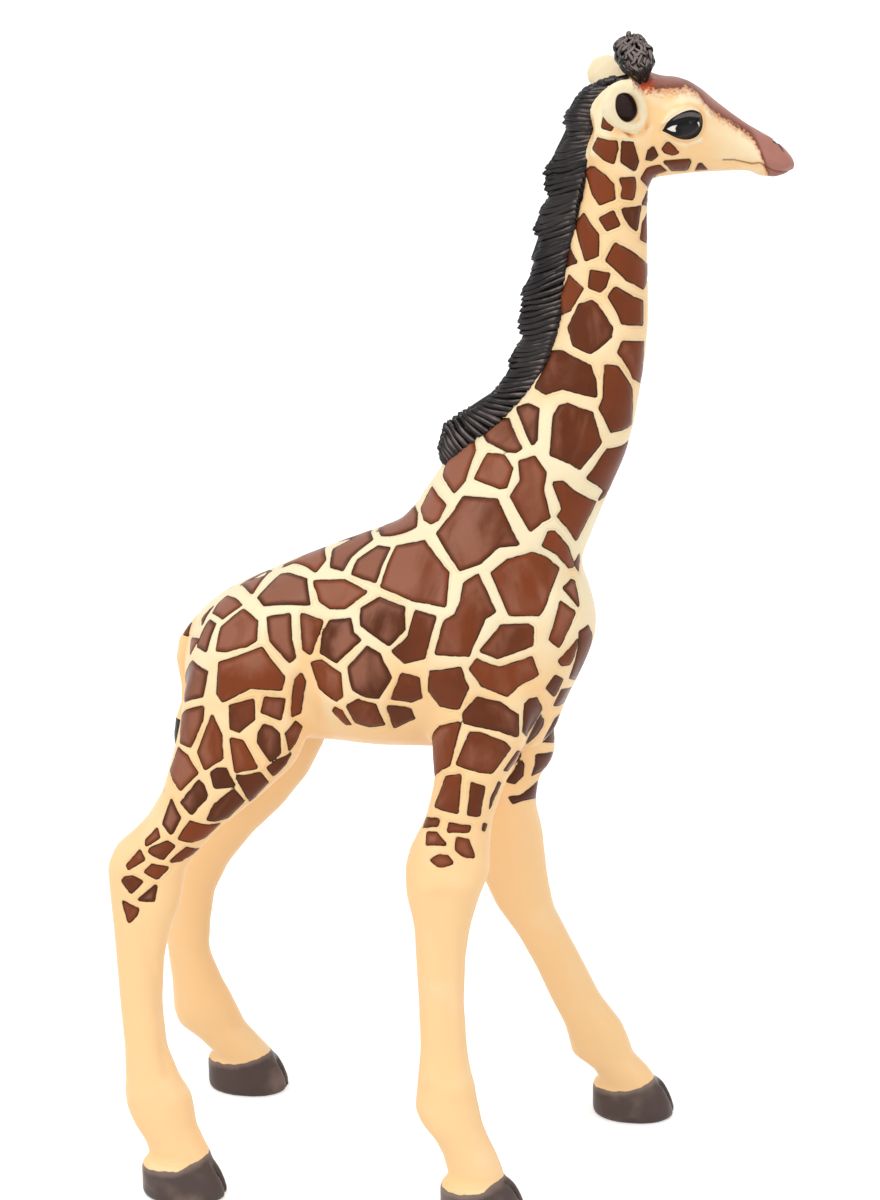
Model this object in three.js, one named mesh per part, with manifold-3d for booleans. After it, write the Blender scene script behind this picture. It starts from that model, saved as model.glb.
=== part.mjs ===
// A toy giraffe calf: a painted vinyl figure, walking, with its head turned a little to its left.
// Millimetres, +X towards the nose, +Z up, the animal's left side towards +Y. Thirteen solid mouldings
// make it: legs, neck and head meet at flat seams with a round peg in a socket, and ears, horns, mane
// and tail stand with their roots in pockets that follow their own shape.

import * as THREE from "three";
import { mergeVertices } from "three/addons/utils/BufferGeometryUtils.js";
import Module from "manifold-3d";

const wasm = await Module();
wasm.setup();

// Trunk: how high it is carried, and its own length, depth and width
const BELLY_HEIGHT = 54.5;
const TRUNK_LENGTH = 50;
const TRUNK_DEPTH = 30;
const TRUNK_WIDTH = 22;

// Neck: from the seam on the shoulders to the seam under the head
const NECK_LENGTH = 37.2;
const NECK_REACH = 20;
const NECK_WIDTH = 9;

// Head, measured without ears and horns, and how far it is turned
const HEAD_LENGTH = 24;
const HEAD_DEPTH = 12;
const HEAD_WIDTH = 10;
const HEAD_TURN = THREE.MathUtils.degToRad(14);

// Legs: how far they swing from hip and shoulder, their girth, and how wide they stand
const STRIDE = 20;
const LEG_DEPTH = 10;
const LEG_WIDTH = 7.5;
const HIP_TRACK = 13.6;
const HOOF_TRACK = 30.4;

// Hooves
const HOOF_LENGTH = 10.4;
const HOOF_WIDTH = 7.4;
const HOOF_HEIGHT = 4.6;
const CLEFT_WIDTH = 0.9;

// Eyes, nostrils and mouth
const EYE_LENGTH = 5;
const EYE_HEIGHT = 3.4;
const EYE_BULGE = 2.2;
const EYELID_THICKNESS = 0.3;
const NOSTRIL_LENGTH = 1.5;
const MOUTH_WIDTH = 0.5;
const MOUTH_DEPTH = 0.4;

// Ears, horns, mane and tail
const EAR_LENGTH = 7.2;
const EAR_WIDTH = 5.6;
const EAR_THICKNESS = 2.6;
const EAR_WALL = 1.1;
const HORN_LENGTH = 6.1;
const TUFT_LENGTH = 4.2;
const TUFT_WIDTH = 3.6;
const MANE_HEIGHT = 4.6;
const MANE_THICKNESS = 4.4;
const MANE_LOCK = 4.4;
const TAIL_LENGTH = 27;
const TAIL_THICKNESS = 2.4;

// Seams: pegs in their sockets, and roots in their pockets
const NECK_PEG_RADIUS = 2.4;
const HEAD_PEG_RADIUS = 1.4;
const LEG_PEG_RADIUS = 1.5;
const PEG_LENGTH = 4;
const SEAT_GAP = 0.3;
const ROOT_DEPTH = 1.2;

// How many sides the rings of each skin have, and its eyes, nostrils and pegs
const TRUNK_SIDES = 26;
const NECK_SIDES = 20;
const HEAD_SIDES = 24;
const LEG_SIDES = 18;
const HOOF_SIDES = 24;
const CLEFT_SIDES = 8;
const EAR_SIDES = 16;
const HORN_SIDES = 16;
const MANE_SIDES = 10;
const TAIL_SIDES = 10;
const EYE_SIDES = 14;
const NOSTRIL_SIDES = 8;
const MOUTH_SIDES = 6;
const PEG_SIDES = 20;
const TRUNK_STEPS = 2;

// How far a cutting shape runs past what it cuts
const OVERRUN = 1;

// Points closer than this are one point of a skin
const MERGE_TOLERANCE = 0.0001;

// Finishes: cream vinyl, and the dark hair of mane and horns
const CREAM = "#f2d8a2";
const DARK_HAIR = "#352f2f";
const SATIN = 0.5;
const MATT = 0.65;

const RIGHT = -1;
const LEFT = 1;

// Reads a table of stations smoothly: the first column is the place, the rest blends between the rows.
function readerOf(rows) {
  const places = rows.map((row) => row[0]);
  const values = rows.flatMap((row) => row.slice(1));
  const blend = new THREE.CubicInterpolant(places, values, rows[0].length - 1);
  return (place) => [...blend.evaluate(place)];
}

// The places where rings go: each row of the table, and some spaced evenly between two rows.
function ringPlaces(rows, steps = 1) {
  const places = rows.slice(1).flatMap((row, i) =>
    Array.from({ length: steps }, (_, step) => THREE.MathUtils.lerp(rows[i][0], row[0], step / steps)),
  );
  return [...places, rows.at(-1)[0]];
}

// Raises the size of a sine or cosine to a power, which makes a round section squarer or more pointed.
function rounded(value, power) {
  return Math.sign(value) * Math.abs(value) ** power;
}

// A ring of points round a centre: `across` and `upward` reach to its sides, `under` to its lower end.
// A power over 1 draws the upper half to a ridge, and one under 1 makes it boxy.
function ringOf(centre, across, upward, under, count, upperPower = 1, lowerPower = 1) {
  return Array.from({ length: count }, (_, i) => {
    const angle = (i / count) * 2 * Math.PI;
    const power = Math.sin(angle) > 0 ? upperPower : lowerPower;
    return centre
      .clone()
      .addScaledVector(across, rounded(Math.cos(angle), power))
      .addScaledVector(Math.sin(angle) > 0 ? upward : under, Math.sin(angle));
  });
}

// Moves the two end rings of a skin apart, away from their neighbours, which makes it longer.
function lengthened(rings, grow) {
  const move = (ring, next) => {
    const away = middleOf(ring).sub(middleOf(next)).setLength(grow);
    ring.forEach((p) => p.add(away));
  };
  if (grow) {
    move(rings[0], rings[1]);
    move(rings.at(-1), rings.at(-2));
  }
  return rings;
}
const middleOf = (ring) =>
  ring.reduce((sum, p) => sum.add(p), new THREE.Vector3()).divideScalar(ring.length);

// A closed skin over rings that all run the same way round, with a fan over each end.
function skinOver(rings) {
  const count = rings[0].length;
  const points = rings.flat();
  const first = points.length;
  points.push(middleOf(rings[0]), middleOf(rings.at(-1)));
  const faces = [];
  const start = (rings.length - 1) * count;
  for (let j = 0; j < count; j += 1) {
    const next = (j + 1) % count;
    for (let i = 0; i < start; i += count) {
      faces.push(i + j, i + next, i + count + next, i + j, i + count + next, i + count + j);
    }
    faces.push(first, next, j, first + 1, start + j, start + next);
  }
  const geometry = new THREE.BufferGeometry().setFromPoints(points);
  return geometry.setIndex(faces);
}

// The solid inside a closed geometry, turned right side out if a mirrored shape came inside out.
function solidOf(geometry, frame = new THREE.Matrix4()) {
  const bare = geometry.clone().applyMatrix4(frame);
  bare.deleteAttribute("normal");
  bare.deleteAttribute("uv");
  const merged = mergeVertices(bare, MERGE_TOLERANCE);
  const make = (triVerts) =>
    new wasm.Manifold(
      new wasm.Mesh({ numProp: 3, vertProperties: merged.attributes.position.array, triVerts }),
    );
  const triVerts = new Uint32Array(merged.index.array);
  const made = make(triVerts);
  return made.volume() < 0 ? make(triVerts.reverse()) : made;
}

// Everything above or below a level, as a box to keep or take away.
const FIGURE_REACH = BELLY_HEIGHT + TRUNK_LENGTH + TRUNK_DEPTH + NECK_LENGTH + HEAD_LENGTH + HOOF_TRACK;
function slab(low, high) {
  const box = new THREE.BoxGeometry(2 * FIGURE_REACH, 2 * FIGURE_REACH, high - low);
  return solidOf(box.translate(0, 0, (low + high) / 2));
}
const above = (level) => slab(level, level + FIGURE_REACH);
const below = (level) => slab(level - FIGURE_REACH, level);

// A round peg that stands on a seam from `level` up by `length`, or down where the length is negative.
function peg(x, y, level, length, radius) {
  const post = new THREE.CylinderGeometry(radius, radius, Math.abs(length) + OVERRUN, PEG_SIDES);
  post.rotateX(Math.PI / 2);
  return solidOf(post.translate(x, y, level + length / 2 - (Math.sign(length) * OVERRUN) / 2));
}
function socket(x, y, level, length, radius) {
  const deeper = length + Math.sign(length) * SEAT_GAP;
  return peg(x, y, level, deeper, radius + SEAT_GAP);
}

// Trunk, from the rump to the breast. Columns: place along the length, back line and belly line over
// the belly height in shares of the depth, half width, height of the widest place between the two
// lines, and how sharp the ridge of the back and the keel of the belly are.
const trunkShares = [
  [0.01, 0.37, 0.14, 0.12, 0.5, 1.0, 1.0],
  [0.035, 0.48, 0.02, 0.27, 0.5, 1.0, 1.0],
  [0.09, 0.575, -0.06, 0.42, 0.52, 1.0, 1.1],
  [0.17, 0.65, -0.07, 0.47, 0.55, 1.05, 1.4],
  [0.27, 0.735, -0.01, 0.46, 0.52, 1.1, 1.15],
  [0.38, 0.82, 0.01, 0.46, 0.45, 1.1, 0.95],
  [0.5, 0.905, 0.0, 0.475, 0.43, 1.05, 0.95],
  [0.61, 1.0, -0.005, 0.475, 0.45, 1.1, 1.15],
  [0.72, 1.13, -0.01, 0.465, 0.47, 1.15, 1.4],
  [0.82, 1.08, 0.01, 0.43, 0.47, 1.2, 1.4],
  [0.9, 0.94, 0.15, 0.35, 0.45, 1.15, 1.2],
  [0.955, 0.77, 0.33, 0.235, 0.45, 1.05, 1.05],
  [0.98, 0.64, 0.44, 0.14, 0.48, 1.0, 1.0],
  [0.99, 0.57, 0.49, 0.06, 0.5, 1.0, 1.0],
];
const WITHERS_SHARE = 0.62;

// Muscles that swell the side of the trunk, or hollow it. Columns: place along the length, height over
// the belly, reach along and reach up, all as shares of length and depth, and swell of the half width.
const muscleShares = [
  [0.7, 0.52, 0.1, 0.32, 0.14],
  [0.77, 0.2, 0.1, 0.24, 0.16],
  [0.57, 0.25, 0.05, 0.28, -0.08],
  [0.16, 0.36, 0.11, 0.26, 0.1],
  [0.32, 0.36, 0.06, 0.26, -0.12],
  [0.45, 0.25, 0.1, 0.22, 0.08],
];

const alongTrunk = (share) => (share - WITHERS_SHARE) * TRUNK_LENGTH;
const overBelly = (share) => BELLY_HEIGHT + share * TRUNK_DEPTH;

function swellOf(x, z) {
  return muscleShares.reduce((sum, [place, height, along, up, swell]) => {
    const far = ((x - alongTrunk(place)) / (along * TRUNK_LENGTH)) ** 2;
    const high = ((z - overBelly(height)) / (up * TRUNK_DEPTH)) ** 2;
    return sum + swell * Math.exp(-far - high);
  }, 0);
}

function trunkSkin() {
  const read = readerOf(trunkShares);
  const rings = ringPlaces(trunkShares, TRUNK_STEPS).map((share) => {
    const [back, belly, half, widest, ridge, keel] = read(share);
    const middle = THREE.MathUtils.lerp(belly, back, widest);
    const ring = ringOf(
      new THREE.Vector3(alongTrunk(share), 0, overBelly(middle)),
      new THREE.Vector3(0, half * TRUNK_WIDTH, 0),
      new THREE.Vector3(0, 0, (back - middle) * TRUNK_DEPTH),
      new THREE.Vector3(0, 0, (middle - belly) * TRUNK_DEPTH),
      TRUNK_SIDES,
      ridge,
      keel,
    );
    ring.forEach((p) => {
      p.y *= 1 + swellOf(p.x, p.z);
    });
    return ring;
  });
  return solidOf(skinOver(rings));
}

// Neck, from deep in the shoulders to inside the skull. Columns: height over the seam on the
// shoulders in shares of the neck's length, nape and throat in shares of the reach, half width, and
// how sharp the nape is.
const neckShares = [
  [-0.66, 0.1, 0.6, 0.6, 1.0],
  [-0.5, -0.15, 0.72, 1.0, 1.1],
  [-0.37, -0.35, 0.78, 1.12, 1.2],
  [-0.27, -0.42, 0.81, 1.1, 1.25],
  [-0.17, -0.36, 0.86, 1.02, 1.25],
  [-0.06, -0.17, 0.935, 0.92, 1.2],
  [0.05, -0.03, 1.015, 0.83, 1.2],
  [0.15, 0.13, 1.09, 0.76, 1.15],
  [0.25, 0.34, 1.135, 0.69, 1.1],
  [0.35, 0.505, 1.165, 0.62, 1.05],
  [0.45, 0.61, 1.19, 0.56, 1.0],
  [0.55, 0.675, 1.205, 0.52, 1.0],
  [0.65, 0.695, 1.205, 0.485, 1.0],
  [0.75, 0.71, 1.2, 0.455, 1.0],
  [0.84, 0.735, 1.195, 0.43, 1.0],
  [0.93, 0.79, 1.19, 0.415, 1.0],
  [1.0, 0.825, 1.2, 0.425, 1.0],
  [1.08, 0.835, 1.24, 0.465, 1.0],
  [1.16, 0.85, 1.27, 0.48, 1.0],
  [1.25, 0.87, 1.24, 0.43, 1.0],
  [1.31, 0.95, 1.14, 0.22, 1.0],
];

// Where between nape and throat the neck is widest
const NECK_MIDDLE_SHARE = 0.52;

const NECK_SEAM = overBelly(1.05);
const HEAD_SEAM = NECK_SEAM + NECK_LENGTH;
const readNeck = readerOf(neckShares);

// The neck's nape, throat, half width and ridge at a height over the shoulders, as real places.
function neckAt(share) {
  const [nape, throat, half, ridge] = readNeck(share);
  return {
    nape: nape * NECK_REACH,
    throat: throat * NECK_REACH,
    half: half * NECK_WIDTH,
    ridge,
    z: NECK_SEAM + share * NECK_LENGTH,
  };
}

function neckSkin() {
  const rings = ringPlaces(neckShares).map((share) => {
    const { nape, throat, half, ridge, z } = neckAt(share);
    const middle = THREE.MathUtils.lerp(nape, throat, NECK_MIDDLE_SHARE);
    return ringOf(
      new THREE.Vector3(middle, 0, z),
      new THREE.Vector3(0, -half, 0),
      new THREE.Vector3(nape - middle, 0, 0),
      new THREE.Vector3(middle - throat, 0, 0),
      NECK_SIDES,
      ridge,
    ).reverse();
  });
  return solidOf(skinOver(rings));
}

// Head, along its own line from the back of the skull to the lips. Columns: place along the length,
// top and underside over the seam in shares of the depth, half width, height of the widest place, and
// how boxy the upper and the lower half are.
const headShares = [
  [-0.17, 0.62, 0.36, 0.14, 0.5, 1.0, 1.0],
  [-0.135, 0.8, 0.2, 0.31, 0.5, 1.0, 1.0],
  [-0.08, 0.93, 0.08, 0.42, 0.55, 1.0, 1.0],
  [0.01, 1.0, 0.04, 0.46, 0.55, 1.0, 1.0],
  [0.1, 1.045, 0.05, 0.475, 0.58, 0.95, 1.05],
  [0.165, 1.07, 0.07, 0.48, 0.6, 0.9, 1.1],
  [0.22, 1.035, 0.085, 0.49, 0.62, 0.85, 1.15],
  [0.28, 1.025, 0.1, 0.49, 0.64, 0.85, 1.2],
  [0.34, 0.985, 0.11, 0.46, 0.64, 0.9, 1.2],
  [0.4, 0.91, 0.12, 0.41, 0.6, 0.95, 1.15],
  [0.47, 0.79, 0.125, 0.355, 0.56, 1.0, 1.05],
  [0.54, 0.68, 0.13, 0.31, 0.52, 1.0, 1.0],
  [0.61, 0.58, 0.135, 0.285, 0.5, 0.95, 0.95],
  [0.68, 0.495, 0.09, 0.275, 0.5, 0.9, 0.9],
  [0.745, 0.42, 0.06, 0.265, 0.52, 0.9, 0.9],
  [0.8, 0.325, 0.1, 0.225, 0.52, 0.9, 0.9],
  [0.84, 0.225, 0.13, 0.13, 0.5, 1.0, 1.0],
];

// The head stands on the middle of the neck's upper seam and turns about it.
const headTop = neckAt(1);
const headFrame = new THREE.Matrix4()
  .makeTranslation((headTop.nape + headTop.throat) / 2, 0, HEAD_SEAM)
  .multiply(new THREE.Matrix4().makeRotationZ(HEAD_TURN));

const readHead = readerOf(headShares);

// The head's middle line, top, underside and half width at a place along it, as real places.
function headAt(share) {
  const [top, under, half, widest, upper, lower] = readHead(share);
  return {
    x: share * HEAD_LENGTH,
    middle: THREE.MathUtils.lerp(under, top, widest) * HEAD_DEPTH,
    top: top * HEAD_DEPTH,
    under: under * HEAD_DEPTH,
    half: half * HEAD_WIDTH,
    upper,
    lower,
  };
}

function headSkin() {
  const rings = ringPlaces(headShares).map((share) => {
    const { x, middle, top, under, half, upper, lower } = headAt(share);
    return ringOf(
      new THREE.Vector3(x, 0, middle),
      new THREE.Vector3(0, half, 0),
      new THREE.Vector3(0, 0, top - middle),
      new THREE.Vector3(0, 0, middle - under),
      HEAD_SIDES,
      upper,
      lower,
    );
  });
  return solidOf(skinOver(rings), headFrame);
}

// A place on the side of the head: along its length, up in shares of its depth, and how far it lies
// out, where 1 is on the skin.
function onHead([along, up, out], side) {
  const { x, middle, top, under, half, upper, lower } = headAt(along);
  const z = up * HEAD_DEPTH;
  const high = z > middle;
  const rise = high ? (z - middle) / (top - middle) : (middle - z) / (middle - under);
  const inside = THREE.MathUtils.clamp(rise, 0, 1);
  const skin = half * Math.sqrt(1 - inside ** 2) ** (high ? upper : lower);
  return new THREE.Vector3(x, side * out * skin, z);
}

// An egg-shaped blob in the head's frame.
function blob(place, radii, tilt, segments) {
  const ball = new THREE.SphereGeometry(1, segments, segments / 2);
  ball.scale(radii.x, radii.y, radii.z).rotateY(tilt).translate(place.x, place.y, place.z);
  return solidOf(ball, headFrame);
}

const eyeShares = [0.27, 0.67, 0.88];
const nostrilShares = [0.735, 0.36, 0.95];
const EYE_TILT = THREE.MathUtils.degToRad(-14);
const NOSTRIL_TILT = THREE.MathUtils.degToRad(35);

// How far over the middle of the eyeball the edge of the upper lid lies, in shares of its height
const lidEdgeShare = 1 / 6;

// The eyeball bulges between its lids; the upper lid is a fold that stands out over it like an awning.
function eye(side) {
  const place = onHead(eyeShares, side);
  const radii = new THREE.Vector3(EYE_LENGTH / 2, EYE_BULGE / 2, EYE_HEIGHT / 2);
  const lid = blob(place, radii.clone().addScalar(EYELID_THICKNESS), EYE_TILT, EYE_SIDES);
  const opening = new THREE.BoxGeometry(2 * EYE_LENGTH, 2 * EYE_LENGTH, EYE_LENGTH);
  opening.translate(0, 0, lidEdgeShare * EYE_HEIGHT - EYE_LENGTH / 2).rotateY(EYE_TILT);
  const lidOpening = solidOf(opening.translate(place.x, place.y, place.z), headFrame);
  return blob(place, radii, EYE_TILT, EYE_SIDES).add(lid.subtract(lidOpening));
}

function nostril(side) {
  const half = NOSTRIL_LENGTH / 2;
  const radii = new THREE.Vector3(half, half / 2, half / 2);
  return blob(onHead(nostrilShares, side), radii, NOSTRIL_TILT, NOSTRIL_SIDES);
}

// The mouth is a groove along each side of the muzzle, from its corner to the lips.
const mouthShares = [
  [0.42, 0.275, 1],
  [0.5, 0.24, 1],
  [0.6, 0.225, 1],
  [0.7, 0.2, 1],
  [0.78, 0.165, 1],
  [0.83, 0.15, 1],
];
function mouth(side) {
  const rings = mouthShares.map((place, i) => {
    const open = i === 0 ? MOUTH_WIDTH / 4 : MOUTH_WIDTH / 2;
    return ringOf(
      onHead(place, side),
      new THREE.Vector3(0, MOUTH_DEPTH, 0),
      new THREE.Vector3(0, 0, open),
      new THREE.Vector3(0, 0, open),
      MOUTH_SIDES,
    );
  });
  return solidOf(skinOver(rings), headFrame);
}

// Ear: a leaf that stands out and back from the head, hollowed from its front. Columns: place along
// the ear, half width and thickness.
const earShares = [
  [0.0, 0.2, 0.3],
  [0.12, 0.27, 0.36],
  [0.3, 0.39, 0.45],
  [0.5, 0.475, 0.5],
  [0.67, 0.5, 0.47],
  [0.82, 0.43, 0.38],
  [0.93, 0.27, 0.24],
  [1.0, 0.07, 0.08],
];
const earRootShares = [0.075, 0.63, 0.85];

// The hollow of the ear starts this far along it and takes this much of its length
const hollowStartShare = 0.2;
const hollowLengthShare = 0.7;
const earLean = new THREE.Vector3(-0.46, 0.46, 0.74);
const earFront = new THREE.Vector3(0.25, 0.9, 0.1);

function leaf(side, length, width, thickness, root, grow) {
  const axis = new THREE.Vector3(earLean.x, side * earLean.y, earLean.z).normalize();
  const front = new THREE.Vector3(earFront.x, side * earFront.y, earFront.z);
  front.addScaledVector(axis, -front.dot(axis)).normalize();
  const wide = new THREE.Vector3().crossVectors(front, axis);
  const read = readerOf(earShares);
  const rings = ringPlaces(earShares).map((share) => {
    const [half, thick] = read(share);
    return ringOf(
      root.clone().addScaledVector(axis, share * length),
      wide.clone().multiplyScalar(half * width + grow),
      front.clone().multiplyScalar(thick * thickness + grow),
      front.clone().multiplyScalar(thick * thickness + grow),
      EAR_SIDES,
    );
  });
  return { solid: solidOf(skinOver(lengthened(rings, grow)), headFrame), axis, front };
}

function ear(side) {
  const root = onHead(earRootShares, side);
  const { solid, axis, front } = leaf(side, EAR_LENGTH, EAR_WIDTH, EAR_THICKNESS, root, 0);
  const cup = root
    .clone()
    .addScaledVector(axis, hollowStartShare * EAR_LENGTH)
    .addScaledVector(front, EAR_THICKNESS / 2);
  const wide = EAR_WIDTH - 2 * EAR_WALL;
  const deep = EAR_THICKNESS - EAR_WALL / 2;
  return solid.subtract(leaf(side, hollowLengthShare * EAR_LENGTH, wide, deep, cup, 0).solid);
}

function earPocket(side) {
  return leaf(side, EAR_LENGTH, EAR_WIDTH, EAR_THICKNESS, onHead(earRootShares, side), SEAT_GAP).solid;
}

// Horn: a short post that widens into a bushy tuft of hair, which is longer than it is wide. Columns:
// half length in shares of the tuft's length, height in shares of the horn's length.
const hornShares = [
  [0, 0],
  [0.25, 0],
  [0.25, 0.28],
  [0.33, 0.38],
  [0.42, 0.5],
  [0.48, 0.62],
  [0.5, 0.74],
  [0.45, 0.87],
  [0.3, 0.96],
  [0.12, 0.995],
  [0, 1],
];
const hornRootShares = [0.125, 0.9, 0.5];
const HORN_SPREAD = THREE.MathUtils.degToRad(4);
const HORN_RAKE = THREE.MathUtils.degToRad(17);

function horn(side, grow = 0) {
  const profile = hornShares.map(
    ([out, up], i) =>
      new THREE.Vector2(out ? out * TUFT_LENGTH + grow : 0, up * HORN_LENGTH + (i < 2 ? -grow : grow)),
  );
  const post = new THREE.LatheGeometry(profile, HORN_SIDES).rotateX(Math.PI / 2);
  const narrow = (TUFT_WIDTH / 2 + grow) / (TUFT_LENGTH / 2 + grow);
  post.scale(1, narrow, 1).rotateX(-side * HORN_SPREAD).rotateY(-HORN_RAKE);
  const root = onHead(hornRootShares, side);
  return solidOf(post.translate(root.x, root.y, root.z), headFrame);
}

// Mane: hair that stands on the nape from the withers to the poll, in slanting locks whose tips stand
// out at their lower ends. Columns: height on the neck, height of the hair, half thickness.
const maneShares = [
  [0.1, 0.3, 0.27],
  [0.13, 0.56, 0.38],
  [0.18, 0.7, 0.43],
  [0.25, 0.74, 0.46],
  [0.34, 0.64, 0.5],
  [0.42, 0.72, 0.5],
  [0.5, 0.88, 0.5],
  [0.58, 1.02, 0.5],
  [0.66, 1.04, 0.5],
  [0.74, 0.9, 0.5],
  [0.92, 0.88, 0.5],
  [1.04, 0.92, 0.49],
  [1.14, 0.76, 0.46],
  [1.22, 0.62, 0.42],
  [1.28, 0.42, 0.36],
  [1.31, 0.2, 0.25],
];

// How much of the hair's height a lock loses from its tip up to its top, the rings that shape it, and
// how far the hair draws together to its edge
const lockDropShare = 0.16;
const maneRidgeShare = 1.25;
const LOCK_RINGS = 5;

// The direction that stands square out of the nape at a height on the neck.
function offNape(share) {
  const step = 1 / NECK_LENGTH;
  const [above, below] = [neckAt(share + step), neckAt(share - step)];
  return new THREE.Vector3(below.z - above.z, 0, above.nape - below.nape).normalize();
}

function maneSkin(grow = 0) {
  const read = readerOf(maneShares);
  const first = maneShares[0][0];
  const reach = maneShares.at(-1)[0] - first;
  const locks = Math.ceil((reach * NECK_LENGTH) / MANE_LOCK);
  const rings = Array.from({ length: locks * LOCK_RINGS + 1 }, (_, i) => {
    const share = first + (reach * i) / (locks * LOCK_RINGS);
    const [height, half] = read(share);
    const here = neckAt(share);
    const out = offNape(share);
    const swept = grow ? 1 : 1 - lockDropShare * ((i % LOCK_RINGS) / (LOCK_RINGS - 1));
    return ringOf(
      new THREE.Vector3(here.nape, 0, here.z),
      new THREE.Vector3(0, half * MANE_THICKNESS + grow, 0),
      out.clone().multiplyScalar(height * swept * MANE_HEIGHT + grow),
      out.clone().multiplyScalar(ROOT_DEPTH + grow),
      MANE_SIDES,
      maneRidgeShare,
    );
  });
  return solidOf(skinOver(lengthened(rings, grow)));
}

// Legs. Columns of a stance: height in shares of the belly height, lean from hip or shoulder in shares
// of the stride, and depth from front to back in shares of the leg's depth.
const rightForeShares = [
  [0.05, 0.06, 0.66],
  [0.1, 0.03, 0.68],
  [0.138, -0.008, 0.65],
  [0.172, -0.058, 0.65],
  [0.205, -0.118, 0.73],
  [0.238, -0.15, 0.78],
  [0.308, -0.168, 0.65],
  [0.378, -0.18, 0.56],
  [0.48, -0.2, 0.55],
  [0.58, -0.21, 0.6],
  [0.65, -0.205, 0.68],
  [0.717, -0.205, 0.88],
  [0.774, -0.18, 1.02],
  [0.818, -0.17, 0.96],
  [0.886, -0.12, 0.8],
  [0.97, -0.06, 0.84],
  [1.05, -0.02, 1.1],
  [1.14, 0.0, 1.32],
  [1.23, 0.01, 1.36],
  [1.32, 0.02, 1.15],
  [1.38, 0.02, 0.7],
];
const leftForeShares = [
  [0.05, 0.8, 0.72],
  [0.09, 0.79, 0.72],
  [0.123, 0.735, 0.7],
  [0.16, 0.625, 0.78],
  [0.198, 0.6, 0.76],
  [0.237, 0.565, 0.73],
  [0.31, 0.45, 0.64],
  [0.387, 0.36, 0.63],
  [0.462, 0.26, 0.64],
  [0.538, 0.145, 0.73],
  [0.6, 0.095, 0.8],
  [0.65, 0.06, 0.88],
  [0.73, 0.04, 0.88],
  [0.8, 0.02, 0.8],
  [0.88, 0.045, 0.78],
  [0.96, 0.085, 0.87],
  [1.05, 0.07, 1.1],
  [1.14, 0.04, 1.28],
  [1.23, 0.02, 1.34],
  [1.32, 0.02, 1.15],
  [1.38, 0.02, 0.7],
];
const rightHindShares = [
  [0.045, -0.35, 0.74],
  [0.09, -0.375, 0.76],
  [0.123, -0.415, 0.72],
  [0.158, -0.47, 0.76],
  [0.193, -0.5, 0.82],
  [0.228, -0.52, 0.81],
  [0.26, -0.55, 0.67],
  [0.33, -0.595, 0.52],
  [0.435, -0.627, 0.52],
  [0.538, -0.635, 0.59],
  [0.602, -0.625, 0.7],
  [0.66, -0.605, 0.86],
  [0.736, -0.6, 0.96],
  [0.782, -0.535, 1.03],
  [0.818, -0.44, 0.98],
  [0.853, -0.35, 0.99],
  [0.912, -0.21, 1.19],
  [0.99, -0.075, 1.5],
  [1.057, -0.01, 1.6],
  [1.134, -0.01, 1.5],
  [1.21, -0.02, 1.2],
  [1.27, -0.02, 0.7],
];
const leftHindShares = [
  [0.05, -0.26, 0.74],
  [0.09, -0.275, 0.76],
  [0.132, -0.375, 0.77],
  [0.169, -0.48, 0.86],
  [0.207, -0.515, 0.83],
  [0.286, -0.56, 0.65],
  [0.363, -0.6, 0.56],
  [0.444, -0.6, 0.6],
  [0.523, -0.58, 0.65],
  [0.602, -0.52, 0.82],
  [0.684, -0.395, 0.97],
  [0.765, -0.225, 1.11],
  [0.846, -0.075, 1.15],
  [0.923, 0.0, 1.25],
  [0.99, 0.02, 1.45],
  [1.057, 0.0, 1.55],
  [1.134, -0.01, 1.45],
  [1.21, -0.02, 1.2],
  [1.27, -0.02, 0.7],
];
const foreWidthShares = [
  [0.05, 0.36],
  [0.12, 0.36],
  [0.17, 0.38],
  [0.22, 0.41],
  [0.3, 0.35],
  [0.42, 0.32],
  [0.56, 0.35],
  [0.66, 0.41],
  [0.75, 0.5],
  [0.8, 0.5],
  [0.88, 0.46],
  [0.97, 0.52],
  [1.06, 0.57],
  [1.15, 0.6],
  [1.24, 0.6],
  [1.32, 0.5],
  [1.38, 0.3],
];
const hindWidthShares = [
  [0.045, 0.37],
  [0.12, 0.37],
  [0.17, 0.39],
  [0.22, 0.41],
  [0.3, 0.35],
  [0.42, 0.31],
  [0.55, 0.33],
  [0.66, 0.39],
  [0.74, 0.41],
  [0.82, 0.44],
  [0.91, 0.53],
  [1.0, 0.62],
  [1.1, 0.64],
  [1.2, 0.56],
  [1.27, 0.3],
];
const SHOULDER_SHARE = 0.74;
const HIP_SHARE = 0.18;
const FORE_SEAM_SHARE = 0.85;
const HIND_SEAM_SHARE = 0.92;

const legs = {
  right_foreleg: [RIGHT, SHOULDER_SHARE, FORE_SEAM_SHARE, rightForeShares, foreWidthShares, 0.085],
  left_foreleg: [LEFT, SHOULDER_SHARE, FORE_SEAM_SHARE, leftForeShares, foreWidthShares, 0.82],
  right_hindleg: [RIGHT, HIP_SHARE, HIND_SEAM_SHARE, rightHindShares, hindWidthShares, -0.345],
  left_hindleg: [LEFT, HIP_SHARE, HIND_SEAM_SHARE, leftHindShares, hindWidthShares, -0.26],
};

// The height over the belly line where the legs reach the hip track, and how boxy a leg's section is
const hipHeightShare = 0.2;
const legBoxShare = 0.92;

// The distance of a leg's middle line from the middle of the figure at a height over the ground.
function splay(side, z) {
  return side * THREE.MathUtils.lerp(HOOF_TRACK / 2, HIP_TRACK / 2, z / overBelly(hipHeightShare));
}

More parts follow.
